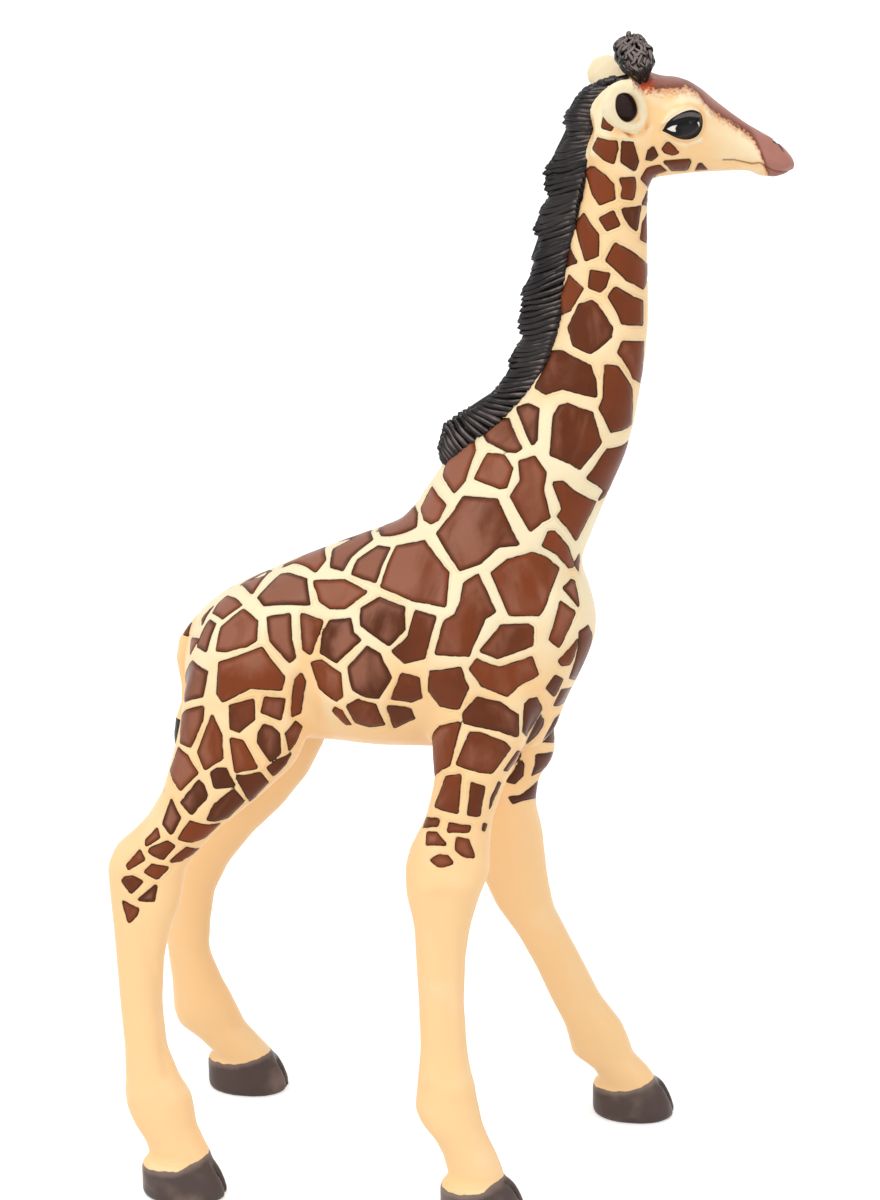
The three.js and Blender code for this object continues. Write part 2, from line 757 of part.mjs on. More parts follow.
// Hoof: flat on the ground, wider below than at the coronet, and split at the toe. Columns: height,
// length and width in shares of the hoof's own, and how far it is drawn back from the toe.
const hoofShares = [
  [0.0, 0.93, 0.92, 0.0],
  [0.08, 1.0, 1.0, 0.0],
  [0.3, 0.985, 1.0, 0.01],
  [0.6, 0.94, 0.96, 0.035],
  [0.88, 0.87, 0.89, 0.07],
  [1.0, 0.76, 0.8, 0.08],
];
// How boxy the round of a hoof is
const hoofBoxShare = 0.9;

function hoof(side, x) {
  const y = splay(side, 0);
  const read = readerOf(hoofShares);
  const rings = ringPlaces(hoofShares).map((share) => {
    const [long, wide, drawn] = read(share);
    return ringOf(
      new THREE.Vector3(x - drawn * HOOF_LENGTH, y, share * HOOF_HEIGHT),
      new THREE.Vector3((long * HOOF_LENGTH) / 2, 0, 0),
      new THREE.Vector3(0, (wide * HOOF_WIDTH) / 2, 0),
      new THREE.Vector3(0, (wide * HOOF_WIDTH) / 2, 0),
      HOOF_SIDES,
      hoofBoxShare,
      hoofBoxShare,
    );
  });
  return solidOf(skinOver(rings)).subtract(cleft(x, y));
}

// The cleft runs back from the toe as a narrow wedge, deeper at the ground than at the coronet: where
// it ends on the ground and at the coronet, ahead of the hoof's middle, in shares of its length.
const cleftEndShares = [-0.05, 0.22];
const cleftWedgeShare = 1.2;

function cleft(x, y) {
  const toe = x + HOOF_LENGTH / 2 + OVERRUN;
  const rings = [-1, 0, 1].map((step) => {
    const share = (step + 1) / 2;
    const end = x + HOOF_LENGTH * THREE.MathUtils.lerp(...cleftEndShares, share);
    const middle = (toe + end) / 2;
    return ringOf(
      new THREE.Vector3(middle, y, HOOF_HEIGHT * share + step * OVERRUN),
      new THREE.Vector3(toe - middle, 0, 0),
      new THREE.Vector3(0, CLEFT_WIDTH / 2, 0),
      new THREE.Vector3(0, CLEFT_WIDTH / 2, 0),
      CLEFT_SIDES,
      cleftWedgeShare,
      cleftWedgeShare,
    );
  });
  return solidOf(skinOver(rings));
}

// One whole leg from its hoof to where it ends inside the trunk.
function legSkin([side, hip, , stance, widths, toe]) {
  const readStance = readerOf(stance);
  const readWidth = readerOf(widths);
  const root = alongTrunk(hip);
  const rings = ringPlaces(stance).map((share) => {
    const [lean, depth] = readStance(share);
    const [half] = readWidth(THREE.MathUtils.clamp(share, widths[0][0], widths.at(-1)[0]));
    const z = share * BELLY_HEIGHT;
    return ringOf(
      new THREE.Vector3(root + lean * STRIDE, splay(side, z), z),
      new THREE.Vector3((depth * LEG_DEPTH) / 2, 0, 0),
      new THREE.Vector3(0, half * LEG_WIDTH, 0),
      new THREE.Vector3(0, half * LEG_WIDTH, 0),
      LEG_SIDES,
      legBoxShare,
      legBoxShare,
    );
  });
  return solidOf(skinOver(rings)).add(hoof(side, root + toe * STRIDE));
}

// Where a leg's peg stands on its seam.
function legSeat([side, hip, seam, stance]) {
  const level = seam * BELLY_HEIGHT;
  const [lean] = readerOf(stance)(seam);
  return [alongTrunk(hip) + lean * STRIDE, splay(side, level), level];
}

// Tail: hangs from the rump, close between the hind legs, and ends in a tuft. Columns: place along
// the tail, half thickness in shares of the tail's thickness, drift back in shares of its length.
const tailShares = [
  [0.0, 0.5, 0.14],
  [0.065, 0.62, 0.09],
  [0.15, 0.6, 0.03],
  [0.24, 0.54, 0.01],
  [0.37, 0.42, 0.02],
  [0.45, 0.47, 0.022],
  [0.53, 0.62, 0.008],
  [0.61, 0.68, 0.004],
  [0.7, 0.66, 0.012],
  [0.81, 0.55, 0.025],
  [0.91, 0.38, 0.035],
  [1.0, 0.1, 0.035],
];
const TAIL_HEIGHT_SHARE = 0.52;

function tailSkin(grow = 0) {
  const read = readerOf(tailShares);
  const rings = ringPlaces(tailShares).map((share) => {
    const [half, drift] = read(share);
    const reach = half * TAIL_THICKNESS + grow;
    const z = overBelly(TAIL_HEIGHT_SHARE) - share * TAIL_LENGTH;
    return ringOf(
      new THREE.Vector3(alongTrunk(0) + drift * TAIL_LENGTH, 0, z),
      new THREE.Vector3(0, reach, 0),
      new THREE.Vector3(reach, 0, 0),
      new THREE.Vector3(reach, 0, 0),
      TAIL_SIDES,
    );
  });
  return solidOf(skinOver(lengthened(rings, grow)));
}

// Each moulding, cut from the whole skins at its seams.
const neck = neckSkin();
const neckFoot = neckAt(0);
const neckMiddle = (neckFoot.nape + neckFoot.throat) / 2;
const headMiddle = (headTop.nape + headTop.throat) / 2;

function torso() {
  let body = trunkSkin().add(neck.intersect(below(NECK_SEAM)));
  Object.values(legs).forEach((leg) => {
    const [x, y, level] = legSeat(leg);
    body = body.add(legSkin(leg).intersect(above(level)));
    body = body.subtract(socket(x, y, level, PEG_LENGTH, LEG_PEG_RADIUS));
  });
  return body
    .subtract(above(NECK_SEAM))
    .subtract(socket(neckMiddle, 0, NECK_SEAM, -PEG_LENGTH, NECK_PEG_RADIUS))
    .subtract(tailSkin(SEAT_GAP))
    .subtract(maneSkin(SEAT_GAP));
}

function neckPiece() {
  return neck
    .intersect(slab(NECK_SEAM, HEAD_SEAM))
    .add(peg(neckMiddle, 0, NECK_SEAM, -PEG_LENGTH, NECK_PEG_RADIUS))
    .subtract(socket(headMiddle, 0, HEAD_SEAM, -PEG_LENGTH, HEAD_PEG_RADIUS))
    .subtract(maneSkin(SEAT_GAP));
}

function head() {
  let face = headSkin().add(neck.intersect(above(HEAD_SEAM)));
  [RIGHT, LEFT].forEach((side) => {
    face = face.add(eye(side)).subtract(nostril(side)).subtract(mouth(side));
    face = face.subtract(earPocket(side)).subtract(horn(side, SEAT_GAP));
  });
  return face
    .intersect(above(HEAD_SEAM))
    .add(peg(headMiddle, 0, HEAD_SEAM, -PEG_LENGTH, HEAD_PEG_RADIUS))
    .subtract(maneSkin(SEAT_GAP));
}

function legPiece(leg) {
  const [x, y, level] = legSeat(leg);
  return legSkin(leg)
    .intersect(below(level))
    .add(peg(x, y, level, PEG_LENGTH, LEG_PEG_RADIUS));
}

// A named mesh of a solid in its own finish.
function meshOf(name, solid, color, roughness) {
  const { vertProperties, triVerts } = solid.getMesh();
  const geometry = new THREE.BufferGeometry();
  geometry.setAttribute("position", new THREE.BufferAttribute(vertProperties, 3));
  geometry.setIndex(new THREE.BufferAttribute(triVerts, 1));
  geometry.computeVertexNormals();
  const finish = new THREE.MeshStandardMaterial({ color, roughness, metalness: 0 });
  const mesh = new THREE.Mesh(geometry, finish);
  mesh.name = name;
  return mesh;
}

const figure = new THREE.Group();
figure.add(
  meshOf("torso", torso(), CREAM, SATIN),
  meshOf("neck", neckPiece(), CREAM, SATIN),
  meshOf("head", head(), CREAM, SATIN),
  meshOf("mane", maneSkin(), DARK_HAIR, MATT),
  meshOf("right_ear", ear(RIGHT), CREAM, SATIN),
  meshOf("left_ear", ear(LEFT), CREAM, SATIN),
  meshOf("right_ossicone", horn(RIGHT), DARK_HAIR, MATT),
  meshOf("left_ossicone", horn(LEFT), DARK_HAIR, MATT),
  ...Object.entries(legs).map(([name, leg]) => meshOf(name, legPiece(leg), CREAM, SATIN)),
  meshOf("tail", tailSkin(), CREAM, SATIN),
);

// The origin is on the ground, in the middle of the figure's box.
const box = new THREE.Box3().setFromObject(figure);
const boxMiddle = box.getCenter(new THREE.Vector3());
figure.position.set(-boxMiddle.x, -boxMiddle.y, -box.min.z);

const group = new THREE.Group();
group.add(figure);
export default group;
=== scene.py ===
from math import cos, pi, radians, sin

import bmesh
import bpy
import numpy as np
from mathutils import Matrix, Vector
from mathutils.bvhtree import BVHTree


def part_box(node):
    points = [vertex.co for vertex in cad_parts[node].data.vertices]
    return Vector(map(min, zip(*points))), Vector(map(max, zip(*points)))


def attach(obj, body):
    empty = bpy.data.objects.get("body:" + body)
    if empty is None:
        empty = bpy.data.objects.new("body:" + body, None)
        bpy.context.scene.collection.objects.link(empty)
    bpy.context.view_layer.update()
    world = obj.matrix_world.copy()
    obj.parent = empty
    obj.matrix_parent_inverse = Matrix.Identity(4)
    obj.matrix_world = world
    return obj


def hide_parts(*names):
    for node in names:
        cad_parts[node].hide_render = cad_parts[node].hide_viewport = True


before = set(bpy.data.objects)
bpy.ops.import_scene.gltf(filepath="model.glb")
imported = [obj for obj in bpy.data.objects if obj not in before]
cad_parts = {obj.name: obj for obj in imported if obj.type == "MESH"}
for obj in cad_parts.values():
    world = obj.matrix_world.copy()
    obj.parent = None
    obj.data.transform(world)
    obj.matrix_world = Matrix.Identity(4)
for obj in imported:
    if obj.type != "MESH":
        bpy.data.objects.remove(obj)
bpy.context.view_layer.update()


# Camera and studio
# The figure stands on a white sheet under large soft lamps, and is seen from its right side, a
# little from the front and from above, through a long lens.
MM = 0.001
PHOTO_WIDTH = 880
PHOTO_HEIGHT = 1200
CAMERA_TURN = radians(9)
CAMERA_RISE = radians(19)
CAMERA_AWAY = 480 * MM
CAMERA_TARGET = Vector((-0.66, 0, 72.5)) * MM
PIXELS_PER_MM = 8.47
SENSOR = 36
CLIP_SHARE = 0.01
FLOOR_REACH = 6
FLOOR_WHITE = (232, 232, 232)
FLOOR_GLOW = 0.5
AMBIENT = 0.8
LAMPS = (
    ("top_lamp", (-0.25, -0.35, 1.0), 0.4, 2.7),
    ("side_lamp", (-0.8, -0.9, 0.5), 0.35, 2.0),
    ("front_lamp", (0.9, -0.7, 0.45), 0.4, 1.5),
)


def new_object(name, data):
    """An object with that data, linked to the scene."""
    made = bpy.data.objects.new(name, data)
    bpy.context.scene.collection.objects.link(made)
    return made


camera_back = Vector((sin(CAMERA_TURN) * cos(CAMERA_RISE), -cos(CAMERA_TURN) * cos(CAMERA_RISE),
                      sin(CAMERA_RISE)))
camera_right = Vector((cos(CAMERA_TURN), sin(CAMERA_TURN), 0))
camera_up = camera_back.cross(camera_right)
focal_pixels = PIXELS_PER_MM * CAMERA_AWAY / MM

camera = new_object("camera", bpy.data.cameras.new("camera"))
camera.location = CAMERA_TARGET + CAMERA_AWAY * camera_back
camera.rotation_euler = (-camera_back).to_track_quat("-Z", "Y").to_euler()
camera.data.sensor_width = SENSOR
camera.data.lens = focal_pixels / PHOTO_HEIGHT * SENSOR
camera.data.clip_start = CAMERA_AWAY * CLIP_SHARE
bpy.context.scene.camera = camera
bpy.context.scene.view_settings.view_transform = "Standard"


def linear(red, green, blue):
    """A colour as it looks on screen, 0 to 255, as the linear colour that a shader takes."""
    shares = [value / 255 for value in (red, green, blue)]
    return [s / 12.92 if s <= 0.04045 else ((s + 0.055) / 1.055) ** 2.4 for s in shares] + [1]


def add_node(tree, kind, settings=None, **inputs):
    """A shader node of that kind, with its settings, and with its inputs set or linked by name."""
    node = tree.nodes.new(kind)
    for name, value in (settings or {}).items():
        setattr(node, name, value)
    for name, value in inputs.items():
        numbered = name[0] == "i" and name[1:].isdigit()
        socket = node.inputs[int(name[1:]) if numbered else name.replace("_", " ")]
        if isinstance(value, bpy.types.NodeSocket):
            tree.links.new(value, socket)
        else:
            socket.default_value = value
    return node


def new_material(name):
    """An empty node material and its output node."""
    material = bpy.data.materials.new(name)
    material.use_nodes = True
    material.node_tree.nodes.clear()
    return material, material.node_tree, material.node_tree.nodes.new("ShaderNodeOutputMaterial")


def worked_out(tree, operation, first, second):
    """What an operation of arithmetic makes of two values."""
    return add_node(tree, "ShaderNodeMath", {"operation": operation}, i0=first, i1=second).outputs[0]


def sum_of(tree, first, second):
    """Two values added."""
    return worked_out(tree, "ADD", first, second)


def product_of(tree, first, second):
    """Two values multiplied."""
    return worked_out(tree, "MULTIPLY", first, second)


def seen_directly(tree):
    """1 for a ray from the camera, or one mirrored or let through by a surface, else 0."""
    path = add_node(tree, "ShaderNodeLightPath").outputs
    either = worked_out(tree, "MAXIMUM", path["Is Camera Ray"], path["Is Glossy Ray"])
    return worked_out(tree, "MAXIMUM", either, path["Is Transmission Ray"])


sheet_mesh = bpy.data.meshes.new("white_sheet")
corners = [(x * FLOOR_REACH, y * FLOOR_REACH, 0) for x, y in ((-1, -1), (1, -1), (1, 1), (-1, 1))]
sheet_mesh.from_pydata(corners, [], [(0, 1, 2, 3)])
white_sheet = new_object("white_sheet", sheet_mesh)

sheet_paper, tree, output = new_material("white_paper")
paper = add_node(tree, "ShaderNodeBsdfDiffuse", Color=linear(*FLOOR_WHITE))
glow = add_node(tree, "ShaderNodeEmission", Strength=product_of(tree, seen_directly(tree), FLOOR_GLOW))
both = add_node(tree, "ShaderNodeAddShader", i0=paper.outputs[0], i1=glow.outputs[0])
tree.links.new(both.outputs[0], output.inputs["Surface"])
sheet_mesh.materials.append(sheet_paper)

world = bpy.data.worlds.new("studio")
world.use_nodes = True
bpy.context.scene.world = world
background = world.node_tree.nodes["Background"]
strength = add_node(world.node_tree, "ShaderNodeMapRange", Value=seen_directly(world.node_tree),
                    To_Min=AMBIENT, To_Max=1)
world.node_tree.links.new(strength.outputs[0], background.inputs["Strength"])
background.inputs["Color"].default_value = (1, 1, 1, 1)

for name, place, size, power in LAMPS:
    lamp = new_object(name, bpy.data.lights.new(name, "AREA"))
    lamp.data.size = size
    lamp.data.energy = power
    lamp.location = place
    lamp.rotation_euler = (lamp.location - CAMERA_TARGET).to_track_quat("Z", "Y").to_euler()


# Skin of trunk, neck and legs
# The mouldings are cast in vinyl, glued on pegs, and their seams are filled and sanded, so one smooth
# skin runs over them. It is cast over the joined solids, with the pockets of mane, tail and horns
# closed flush, and it is parted at the flat seams once it is painted.
ROOTED = ("mane", "tail", "right_ossicone", "left_ossicone")
LEGS = ("right_foreleg", "left_foreleg", "right_hindleg", "left_hindleg")
CARRIERS = ("torso", "neck", "head")
POCKET_GAP = 0.35 * MM
ROOT_COVER = 0.4 * MM
TAIL_SEAT_LENGTH = 16 * MM
BODY_GRAIN = 0.3 * MM
WELD_REACH = 0.001 * MM
SMOOTHING_ROUNDS = 60
SMOOTHING_LEVELS = np.array([4, 20, 50, 60, 118, 124]) * MM
SMOOTHING_EASE = (0.1, 0.3, 0.4, 0.75, 0.6, 0.3)


def values_of(items, name, width, kind=float):
    """A named value of each item of a mesh, as an array with rows of that width."""
    values = np.empty(len(items) * width, kind)
    items.foreach_get(name, values)
    return values.reshape(-1, width)


def mesh_arrays(mesh):
    """The places of a mesh's vertices and the corners of its triangles."""
    mesh.calc_loop_triangles()
    return values_of(mesh.vertices, "co", 3), values_of(mesh.loop_triangles, "vertices", 3, int)


def set_places(mesh, places):
    """The places of a mesh's vertices changed."""
    mesh.vertices.foreach_set("co", places.ravel())
    mesh.update()


def welded(node):
    """A copy of a solid's surface with the shared corners of its triangles merged."""
    work = bmesh.new()
    work.from_mesh(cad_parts[node].data)
    bmesh.ops.remove_doubles(work, verts=work.verts, dist=WELD_REACH)
    mesh = bpy.data.meshes.new(node + "_copy")
    work.to_mesh(mesh)
    work.free()
    return mesh


def joined_arrays(meshes):
    """The vertices and triangles of some meshes as one set."""
    places, corners, start = [], [], 0
    for mesh in meshes:
        own_places, own_corners = mesh_arrays(mesh)
        places.append(own_places)
        corners.append(own_corners + start)
        start += len(own_places)
    return np.vstack(places), np.vstack(corners)


def tree_over(places, corners):
    """A tree to look for places on a surface of triangles."""
    return BVHTree.FromPolygons(places.tolist(), corners.tolist())


def surface_tree(*nodes):
    """A tree to look for places on the surfaces of some solids."""
    return tree_over(*joined_arrays([welded(node) for node in nodes]))


def root_filling(node, carrier_tree):
    """A set-in piece's root, fattened to close its pocket and pressed down to the skin around it."""
    mesh = welded(node)
    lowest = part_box(node)[1].z - TAIL_SEAT_LENGTH if node == "tail" else 0
    seated = [vertex.co.copy() for vertex in mesh.vertices if vertex.co.z > lowest]
    seat_end = min(seated, key=lambda place: place.z)
    for vertex in mesh.vertices:
        if vertex.co.z < lowest:
            vertex.co = seat_end
        near, _, _, far = carrier_tree.find_nearest(vertex.co)
        if far < POCKET_GAP + ROOT_COVER:
            vertex.co += vertex.normal * POCKET_GAP
        else:
            vertex.co = near.lerp(vertex.co, ROOT_COVER / far)
    return mesh


def edge_ends(mesh):
    """The first and the second vertex of every edge."""
    return values_of(mesh.edges, "vertices", 2, int).T


def drop_specks(mesh):
    """Takes away all that hangs together with less than the largest part of a mesh."""
    first, second = edge_ends(mesh)
    part = np.arange(len(mesh.vertices))
    joined = False
    while not joined:
        lower = part.copy()
        np.minimum.at(lower, first, part[second])
        np.minimum.at(lower, second, part[first])
        lower = lower[lower]
        joined = (lower == part).all()
        part = lower
    work = bmesh.new()
    work.from_mesh(mesh)
    work.verts.ensure_lookup_table()
    specks = [work.verts[i] for i in np.flatnonzero(part != np.bincount(part).argmax())]
    bmesh.ops.delete(work, geom=specks, context="VERTS")
    work.to_mesh(mesh)
    work.free()


def cast_over(meshes, grain):
    """One closed skin over some joined or overlapping closed meshes, in even faces of that size."""
    places, corners = joined_arrays(meshes)
    mesh = bpy.data.meshes.new("skin")
    mesh.from_pydata(places.tolist(), [], corners.tolist())
    holder = new_object("skin", mesh)
    remesh = holder.modifiers.new("even_faces", "REMESH")
    remesh.mode = "VOXEL"
    remesh.voxel_size = grain
    evaluated = holder.evaluated_get(bpy.context.evaluated_depsgraph_get())
    skin = bpy.data.meshes.new_from_object(evaluated)
    bpy.data.objects.remove(holder)
    drop_specks(skin)
    return skin


def softened(values, ends, rounds, ease):
    """Values at the vertices, eased a number of times towards the mean of their neighbours."""
    first, second = ends
    count = len(values)
    neighbours = np.bincount(first, minlength=count) + np.bincount(second, minlength=count)
    values = values.copy()
    for _ in range(rounds):
        for axis in range(values.shape[1]):
            column = values[:, axis]
            total = np.bincount(first, column[second], count) + np.bincount(second, column[first], count)
            values[:, axis] = column + ease * (total / neighbours - column)
    return values


def smoothed(places, ends, rounds, ease):
    """Places with the facets of the solids eased away, and what that shrinks given back."""
    soft = softened(places, ends, rounds, ease)
    return soft + softened(places - soft, ends, rounds, ease)


carrier_tree = surface_tree(*CARRIERS)
fillings = {node: root_filling(node, carrier_tree) for node in ROOTED}
body_skin = cast_over([welded(node) for node in (*CARRIERS, *LEGS)] + list(fillings.values()), BODY_GRAIN)
body_places, body_corners = mesh_arrays(body_skin)
body_places = smoothed(body_places, edge_ends(body_skin), SMOOTHING_ROUNDS,
                       np.interp(body_places[:, 2], SMOOTHING_LEVELS, SMOOTHING_EASE))
set_places(body_skin, body_places)

NEARING_ROUNDS = 6
# Each swelling or fold follows a line of pixels, with its half width and its height in millimetres.
FOLDS = (
    (((550, 738), (547, 746), (544, 753)), 3.0, 1.1),
    (((324, 640), (314, 672), (306, 704), (309, 728)), 1.9, -0.45),
    (((288, 596), (296, 632), (292, 668)), 3.0, 0.3),
    (((452, 470), (438, 540), (432, 610)), 3.4, 0.25),
    (((470, 560), (476, 640), (468, 700)), 4.0, 0.3),
    (((140, 905), (152, 960), (163, 1020), (168, 1075)), 0.9, -0.22),
    (((438, 900), (446, 960), (449, 1030), (447, 1080)), 1.0, -0.16),
    (((424, 890), (444, 884), (470, 889)), 1.2, 0.22),
    (((430, 1082), (452, 1090), (474, 1085)), 1.4, 0.22),
)


def aimed_at(pixel):
    """The direction in which the camera sees a pixel of the photograph."""
    across, down = pixel
    return (-camera_back + (across - PHOTO_WIDTH / 2) / focal_pixels * camera_right
            - (down - PHOTO_HEIGHT / 2) / focal_pixels * camera_up).normalized()


def seen_place(tree, pixel):
    """The place of a surface that the photograph shows at a pixel, or the nearest one to that ray."""
    ray = aimed_at(pixel)
    place, normal, _, _ = tree.ray_cast(camera.location, ray)
    if place is not None:
        return place, normal
    place = camera.location + CAMERA_AWAY * ray
    for _ in range(NEARING_ROUNDS):
        near, normal, _, _ = tree.find_nearest(place)
        place = camera.location + (near - camera.location).dot(ray) * ray
    return near, normal


def vertex_normals(mesh):
    """The normal at every vertex."""
    return values_of(mesh.vertices, "normal", 3)


def from_line(places, line):
    """How far places lie from a line through some points."""
    nearest = np.full(len(places), np.inf)
    for start, end in zip(line, line[1:]):
        run = end - start
        along = np.clip((places - start) @ run / (run @ run), 0, 1)
        nearest = np.minimum(nearest, np.linalg.norm(places - start - along[:, None] * run, axis=1))
    return nearest


def folded(mesh, places, tree, mirror, folds):
    """Places pushed out or in along the folds, on both sides where a fold lies on the right one."""
    rise = np.zeros(len(places))
    for pixels, half_width, height in folds:
        line = np.array([seen_place(tree, pixel)[0] for pixel in pixels])
        for seen_from in (places, mirror) if line[:, 1].mean() < -MIDDLE_BAND else (places,):
            rise += height * MM * np.exp(-(from_line(seen_from, line) / (half_width * MM)) ** 2)
    return places + vertex_normals(mesh) * rise[:, None]


# Painted coat
# The red-brown patches are sunk a little below the cream net between them, and painted by hand over
# a cream ground, with a thin dark line where the brush follows their edge. The hidden side has the
# same patches, mirrored and shifted. Each patch is the pixels of its corners.
NECK_PATCHES = (
    ((604, 117), (614, 123), (611, 130), (602, 127)),
    ((597, 139), (616, 142), (617, 149), (613, 163), (605, 160), (592, 149)),
    ((623, 142), (632, 143), (638, 163), (635, 170), (622, 162)),
    ((649, 151), (653, 148), (657, 156), (652, 161), (647, 160)),
    ((668, 143), (678, 153), (673, 155), (665, 152), (663, 149)),
    ((665, 162), (689, 160), (690, 162), (686, 171), (673, 171)),
    ((700, 164), (706, 170), (696, 171)),
    ((648, 169), (659, 166), (665, 171), (655, 176), (652, 185), (647, 184), (642, 178)),
    ((589, 168), (594, 168), (605, 176), (613, 185), (614, 199), (600, 204), (593, 195), (589, 184),
     (586, 171)),
    ((621, 179), (634, 178), (636, 187), (633, 199), (622, 198), (623, 188)),
    ((647, 192), (649, 203), (643, 203)),
    ((579, 188), (582, 198), (579, 207), (575, 206)),
    ((623, 209), (641, 207), (637, 230), (632, 227), (625, 216)),
    ((613, 212), (619, 225), (607, 230), (600, 219)),
    ((583, 214), (598, 235), (597, 256), (586, 260), (579, 239), (576, 222)),
    ((647, 214), (649, 244), (641, 239), (643, 223)),
    ((569, 245), (576, 262), (566, 266)),
    ((615, 244), (648, 268), (644, 288), (627, 280), (607, 260)),
    ((591, 271), (609, 274), (605, 287), (600, 292), (589, 287)),
    ((569, 276), (582, 288), (570, 310), (562, 314), (559, 306), (564, 287)),
    ((591, 301), (597, 305), (612, 328), (611, 337), (597, 349), (590, 353), (573, 345), (568, 328),
     (579, 305)),
    ((615, 288), (634, 298), (643, 302), (643, 324), (623, 324), (618, 312), (609, 296)),
    ((623, 342), (644, 342), (643, 367), (641, 382), (634, 378), (619, 352)),
    ((551, 352), (561, 351), (590, 366), (595, 380), (596, 396), (577, 392), (562, 388), (545, 393),
     (535, 387)),
    ((606, 365), (617, 367), (632, 389), (632, 424), (612, 432), (600, 409), (604, 398)),
    ((554, 415), (560, 406), (567, 404), (592, 413), (601, 443), (580, 469), (570, 463), (551, 455)),
    ((517, 407), (528, 404), (538, 409), (536, 440), (533, 444), (522, 422)),
    ((484, 434), (500, 419), (508, 419), (521, 448), (517, 451), (508, 451), (488, 441)),
    ((443, 475), (446, 462), (465, 444), (474, 438), (475, 450), (464, 481), (454, 492)),
    ((487, 454), (503, 455), (512, 468), (506, 487), (500, 488), (475, 478)),
    ((520, 461), (534, 457), (545, 472), (543, 490), (549, 518), (541, 522), (531, 531), (511, 497),
     (521, 480)),
    ((554, 483), (562, 482), (576, 493), (596, 503), (577, 540), (567, 526), (558, 517), (563, 510)),
    ((629, 440), (607, 450), (588, 478), (607, 492), (612, 488)),
)
TRUNK_PATCHES = (
    ((463, 497), (497, 500), (518, 544), (499, 546), (480, 563), (460, 570), (437, 533), (455, 510)),
    ((431, 487), (445, 505), (438, 520), (431, 523), (424, 519), (421, 507)),
    ((396, 546), (424, 541), (448, 573), (445, 606), (412, 600), (381, 586)),
    ((549, 532), (554, 532), (568, 548), (574, 566), (570, 567), (556, 553), (543, 545)),
    ((579, 555), (580, 562), (579, 570), (575, 563)),
    ((492, 573), (508, 560), (532, 553), (545, 557), (559, 569), (544, 608), (539, 615), (510, 615),
     (497, 585)),
    ((465, 583), (478, 575), (495, 611), (485, 618), (468, 656), (436, 654), (444, 622), (455, 616),
     (462, 600)),
    ((380, 527), (414, 506), (417, 513), (416, 526), (390, 535), (382, 535)),
    ((501, 626), (529, 625), (533, 628), (533, 645), (497, 658), (481, 651)),
    ((476, 660), (490, 666), (500, 668), (532, 658), (538, 675), (518, 686), (508, 696), (482, 686),
     (470, 669)),
    ((430, 672), (460, 668), (468, 688), (458, 709), (440, 706), (429, 692)),
    ((416, 611), (435, 617), (424, 658), (404, 663), (393, 652), (408, 638)),
    ((361, 609), (379, 598), (404, 608), (404, 630), (389, 645), (361, 625)),
    ((402, 674), (418, 678), (421, 698), (411, 702), (392, 699)),
    ((388, 707), (410, 709), (414, 719), (395, 728)),
    ((348, 668), (367, 647), (379, 654), (391, 678), (378, 698), (366, 697), (353, 690)),
    ((330, 621), (350, 619), (353, 633), (360, 640), (336, 662), (321, 653), (323, 633)),
    ((312, 663), (321, 661), (340, 674), (342, 697), (336, 701), (319, 688)),
    ((347, 706), (358, 700), (375, 705), (384, 725), (370, 727), (356, 723)),
    ((335, 708), (341, 711), (350, 725), (347, 725), (333, 711)),
    ((302, 614), (322, 621), (314, 645), (310, 654), (304, 650)),
    ((268, 617), (289, 614), (291, 640), (295, 658), (290, 662), (270, 640)),
    ((314, 581), (344, 580), (366, 592), (345, 608), (330, 608), (320, 601)),
    ((378, 546), (389, 548), (375, 582), (352, 574), (357, 560)),
    ((369, 531), (372, 539), (350, 557), (342, 570), (331, 567), (334, 548)),
    ((284, 564), (324, 547), (325, 560), (316, 571), (306, 565), (296, 562)),
    ((242, 583), (262, 571), (271, 570), (252, 593)),
    ((258, 597), (280, 574), (287, 573), (306, 579), (309, 604), (264, 605)),
    ((213, 612), (219, 602), (226, 596), (235, 599), (241, 605), (223, 618)),
    ((221, 627), (243, 609), (257, 621), (256, 640), (246, 646), (225, 651), (216, 650)),
    ((208, 601), (206, 616), (202, 624), (195, 614)),
    ((209, 620), (215, 624), (206, 651), (197, 646)),
    ((191, 639), (198, 640), (190, 654)),
    ((192, 661), (207, 672), (202, 696), (182, 701), (185, 680)),
    ((219, 663), (262, 648), (284, 677), (282, 689), (250, 688), (222, 701), (217, 694)),
    ((296, 679), (301, 674), (304, 681), (300, 713), (293, 716)),
    ((181, 717), (186, 711), (203, 707), (202, 720), (190, 747), (180, 742)),
    ((212, 716), (221, 735), (222, 759), (205, 769), (198, 753)),
    ((230, 706), (253, 700), (254, 719), (238, 732), (231, 729)),
    ((265, 698), (285, 700), (281, 719), (262, 712)),
    ((264, 725), (272, 727), (279, 734), (280, 754), (271, 761), (258, 742), (259, 733)),
    ((296, 722), (302, 727), (290, 750), (286, 734)),
    ((571, 580), (575, 581), (579, 606), (564, 588)),
    ((561, 602), (575, 612), (559, 647), (550, 640)),
    ((578, 640), (571, 664), (562, 665), (559, 661)),
    ((588, 626), (592, 634), (590, 650), (577, 679), (570, 678), (580, 632)),
    ((555, 676), (563, 680), (555, 696), (547, 688)),
    ((477, 698), (500, 703), (518, 716), (518, 736), (500, 730), (464, 722), (463, 714)),
)
